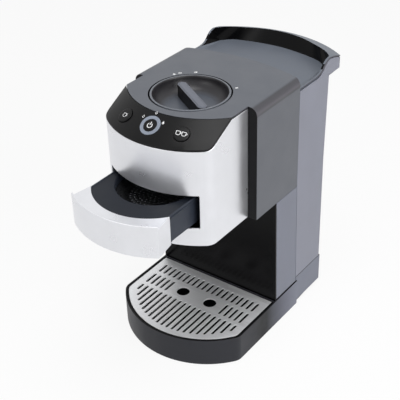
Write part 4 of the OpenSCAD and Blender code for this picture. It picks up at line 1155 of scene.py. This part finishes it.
# %% Finishes of the inner pieces
inner = {
    black_plastic: ["base_plate", "tank_socket", "tank_valve"],
    turned_steel: ["base_screws", "key_switches", "knob_shaft", "brew_piston"],
    rubber: ["feet", "cord_gland", "piston_seal", "pump_mounts", "tank_seal"],
    frame_plastic: ["head_frame", "brew_housing"],
    board_green: ["key_carrier", "main_board"],
    hose_silicone: ["suction_hose", "pressure_hose", "brew_hose"],
    sieve_steel: ["shower_screen"],
    cast_aluminium: ["boiler"],
    plain_brass: ["thermostat"],
    pump_plastic: ["pump"],
}
for finish, names in inner.items():
    for name in names:
        for material_slot in nodes[name].material_slots:
            material_slot.material = finish
        if not nodes[name].material_slots:
            nodes[name].data.materials.append(finish)
print(sum(len(names) for names in inner.values()), "inner pieces have their finish")

# %% [markdown]
# ## Light and background
# Soft light comes from large panels above, on the right and, weaker, in front, so that
# the right sides are the lightest, the top is even and the fronts stay a little darker.
# The world is white to the camera and in reflections, and dimmer for the light that it
# gives. The floor is pale and keeps the shadow of the machine.

# %% Lamps
def panel_lamp(name, place, target, size, power):
    """A flat lamp of a width and a height in metres that shines on a target."""
    lamp = add_object(name, bpy.data.lights.new(name, "AREA"))
    lamp.data.shape = "RECTANGLE"
    lamp.data.size, lamp.data.size_y = size
    lamp.data.energy = power
    lamp.location = place
    lamp.rotation_mode = "QUATERNION"
    lamp.rotation_quaternion = (Vector(target) - Vector(place)).to_track_quat("-Z", "Y")


panel_lamp("top_light", (0.25, -0.1, 1.5), (0, 0, 0.15), (0.8, 0.8), 9)
panel_lamp("right_light", (1.3, -0.25, 0.75), (0, 0, 0.12), (0.9, 0.9), 11)
panel_lamp("front_light", (-0.35, -1.5, 0.7), (0, 0, 0.15), (0.9, 0.7), 4.2)

# %% World and floor
def looked_at(tree):
    """1 for rays from the camera, in reflections and through clear pieces; 0 for the light's."""
    result = add_node(tree, "LightPath", "Is Camera Ray", {})
    rays = result.node.outputs
    for kind in ("Is Glossy Ray", "Is Transmission Ray"):
        result = add_node(tree, "Math", 0, {0: result, 1: rays[kind]}, "MAXIMUM")
    return result


world = bpy.data.worlds.new("world")
bpy.context.scene.world = world
world.use_nodes = True
tree = world.node_tree
level = add_node(tree, "MapRange", "Result", {"Value": looked_at(tree), "To Min": 0.3, "To Max": 1.0})
fill(tree, tree.nodes["Background"], {"Color": (1, 1, 1, 1), "Strength": level})

bm = bmesh.new()
bmesh.ops.create_grid(bm, x_segments=8, y_segments=8, size=6)
floor = as_object(bm, "floor")
paper, tree, surface = new_finish("paper")
fill(tree, surface, {"Roughness": 0.9, "Specular IOR Level": 0.0, "Base Color": (0.9, 0.9, 0.9, 1)})
share = add_node(tree, "MapRange", "Result", {"Value": looked_at(tree), "To Max": 0.9})
mix = add_node(tree, "MixShader", 0, {
    "Fac": share, 1: surface.outputs["BSDF"], 2: add_node(tree, "Emission", 0, {})})
fill(tree, tree.nodes["Material Output"], {"Surface": mix})
floor.data.materials.append(paper)
bpy.context.scene.view_settings.view_transform = "Standard"
print("lights, world and floor are set")
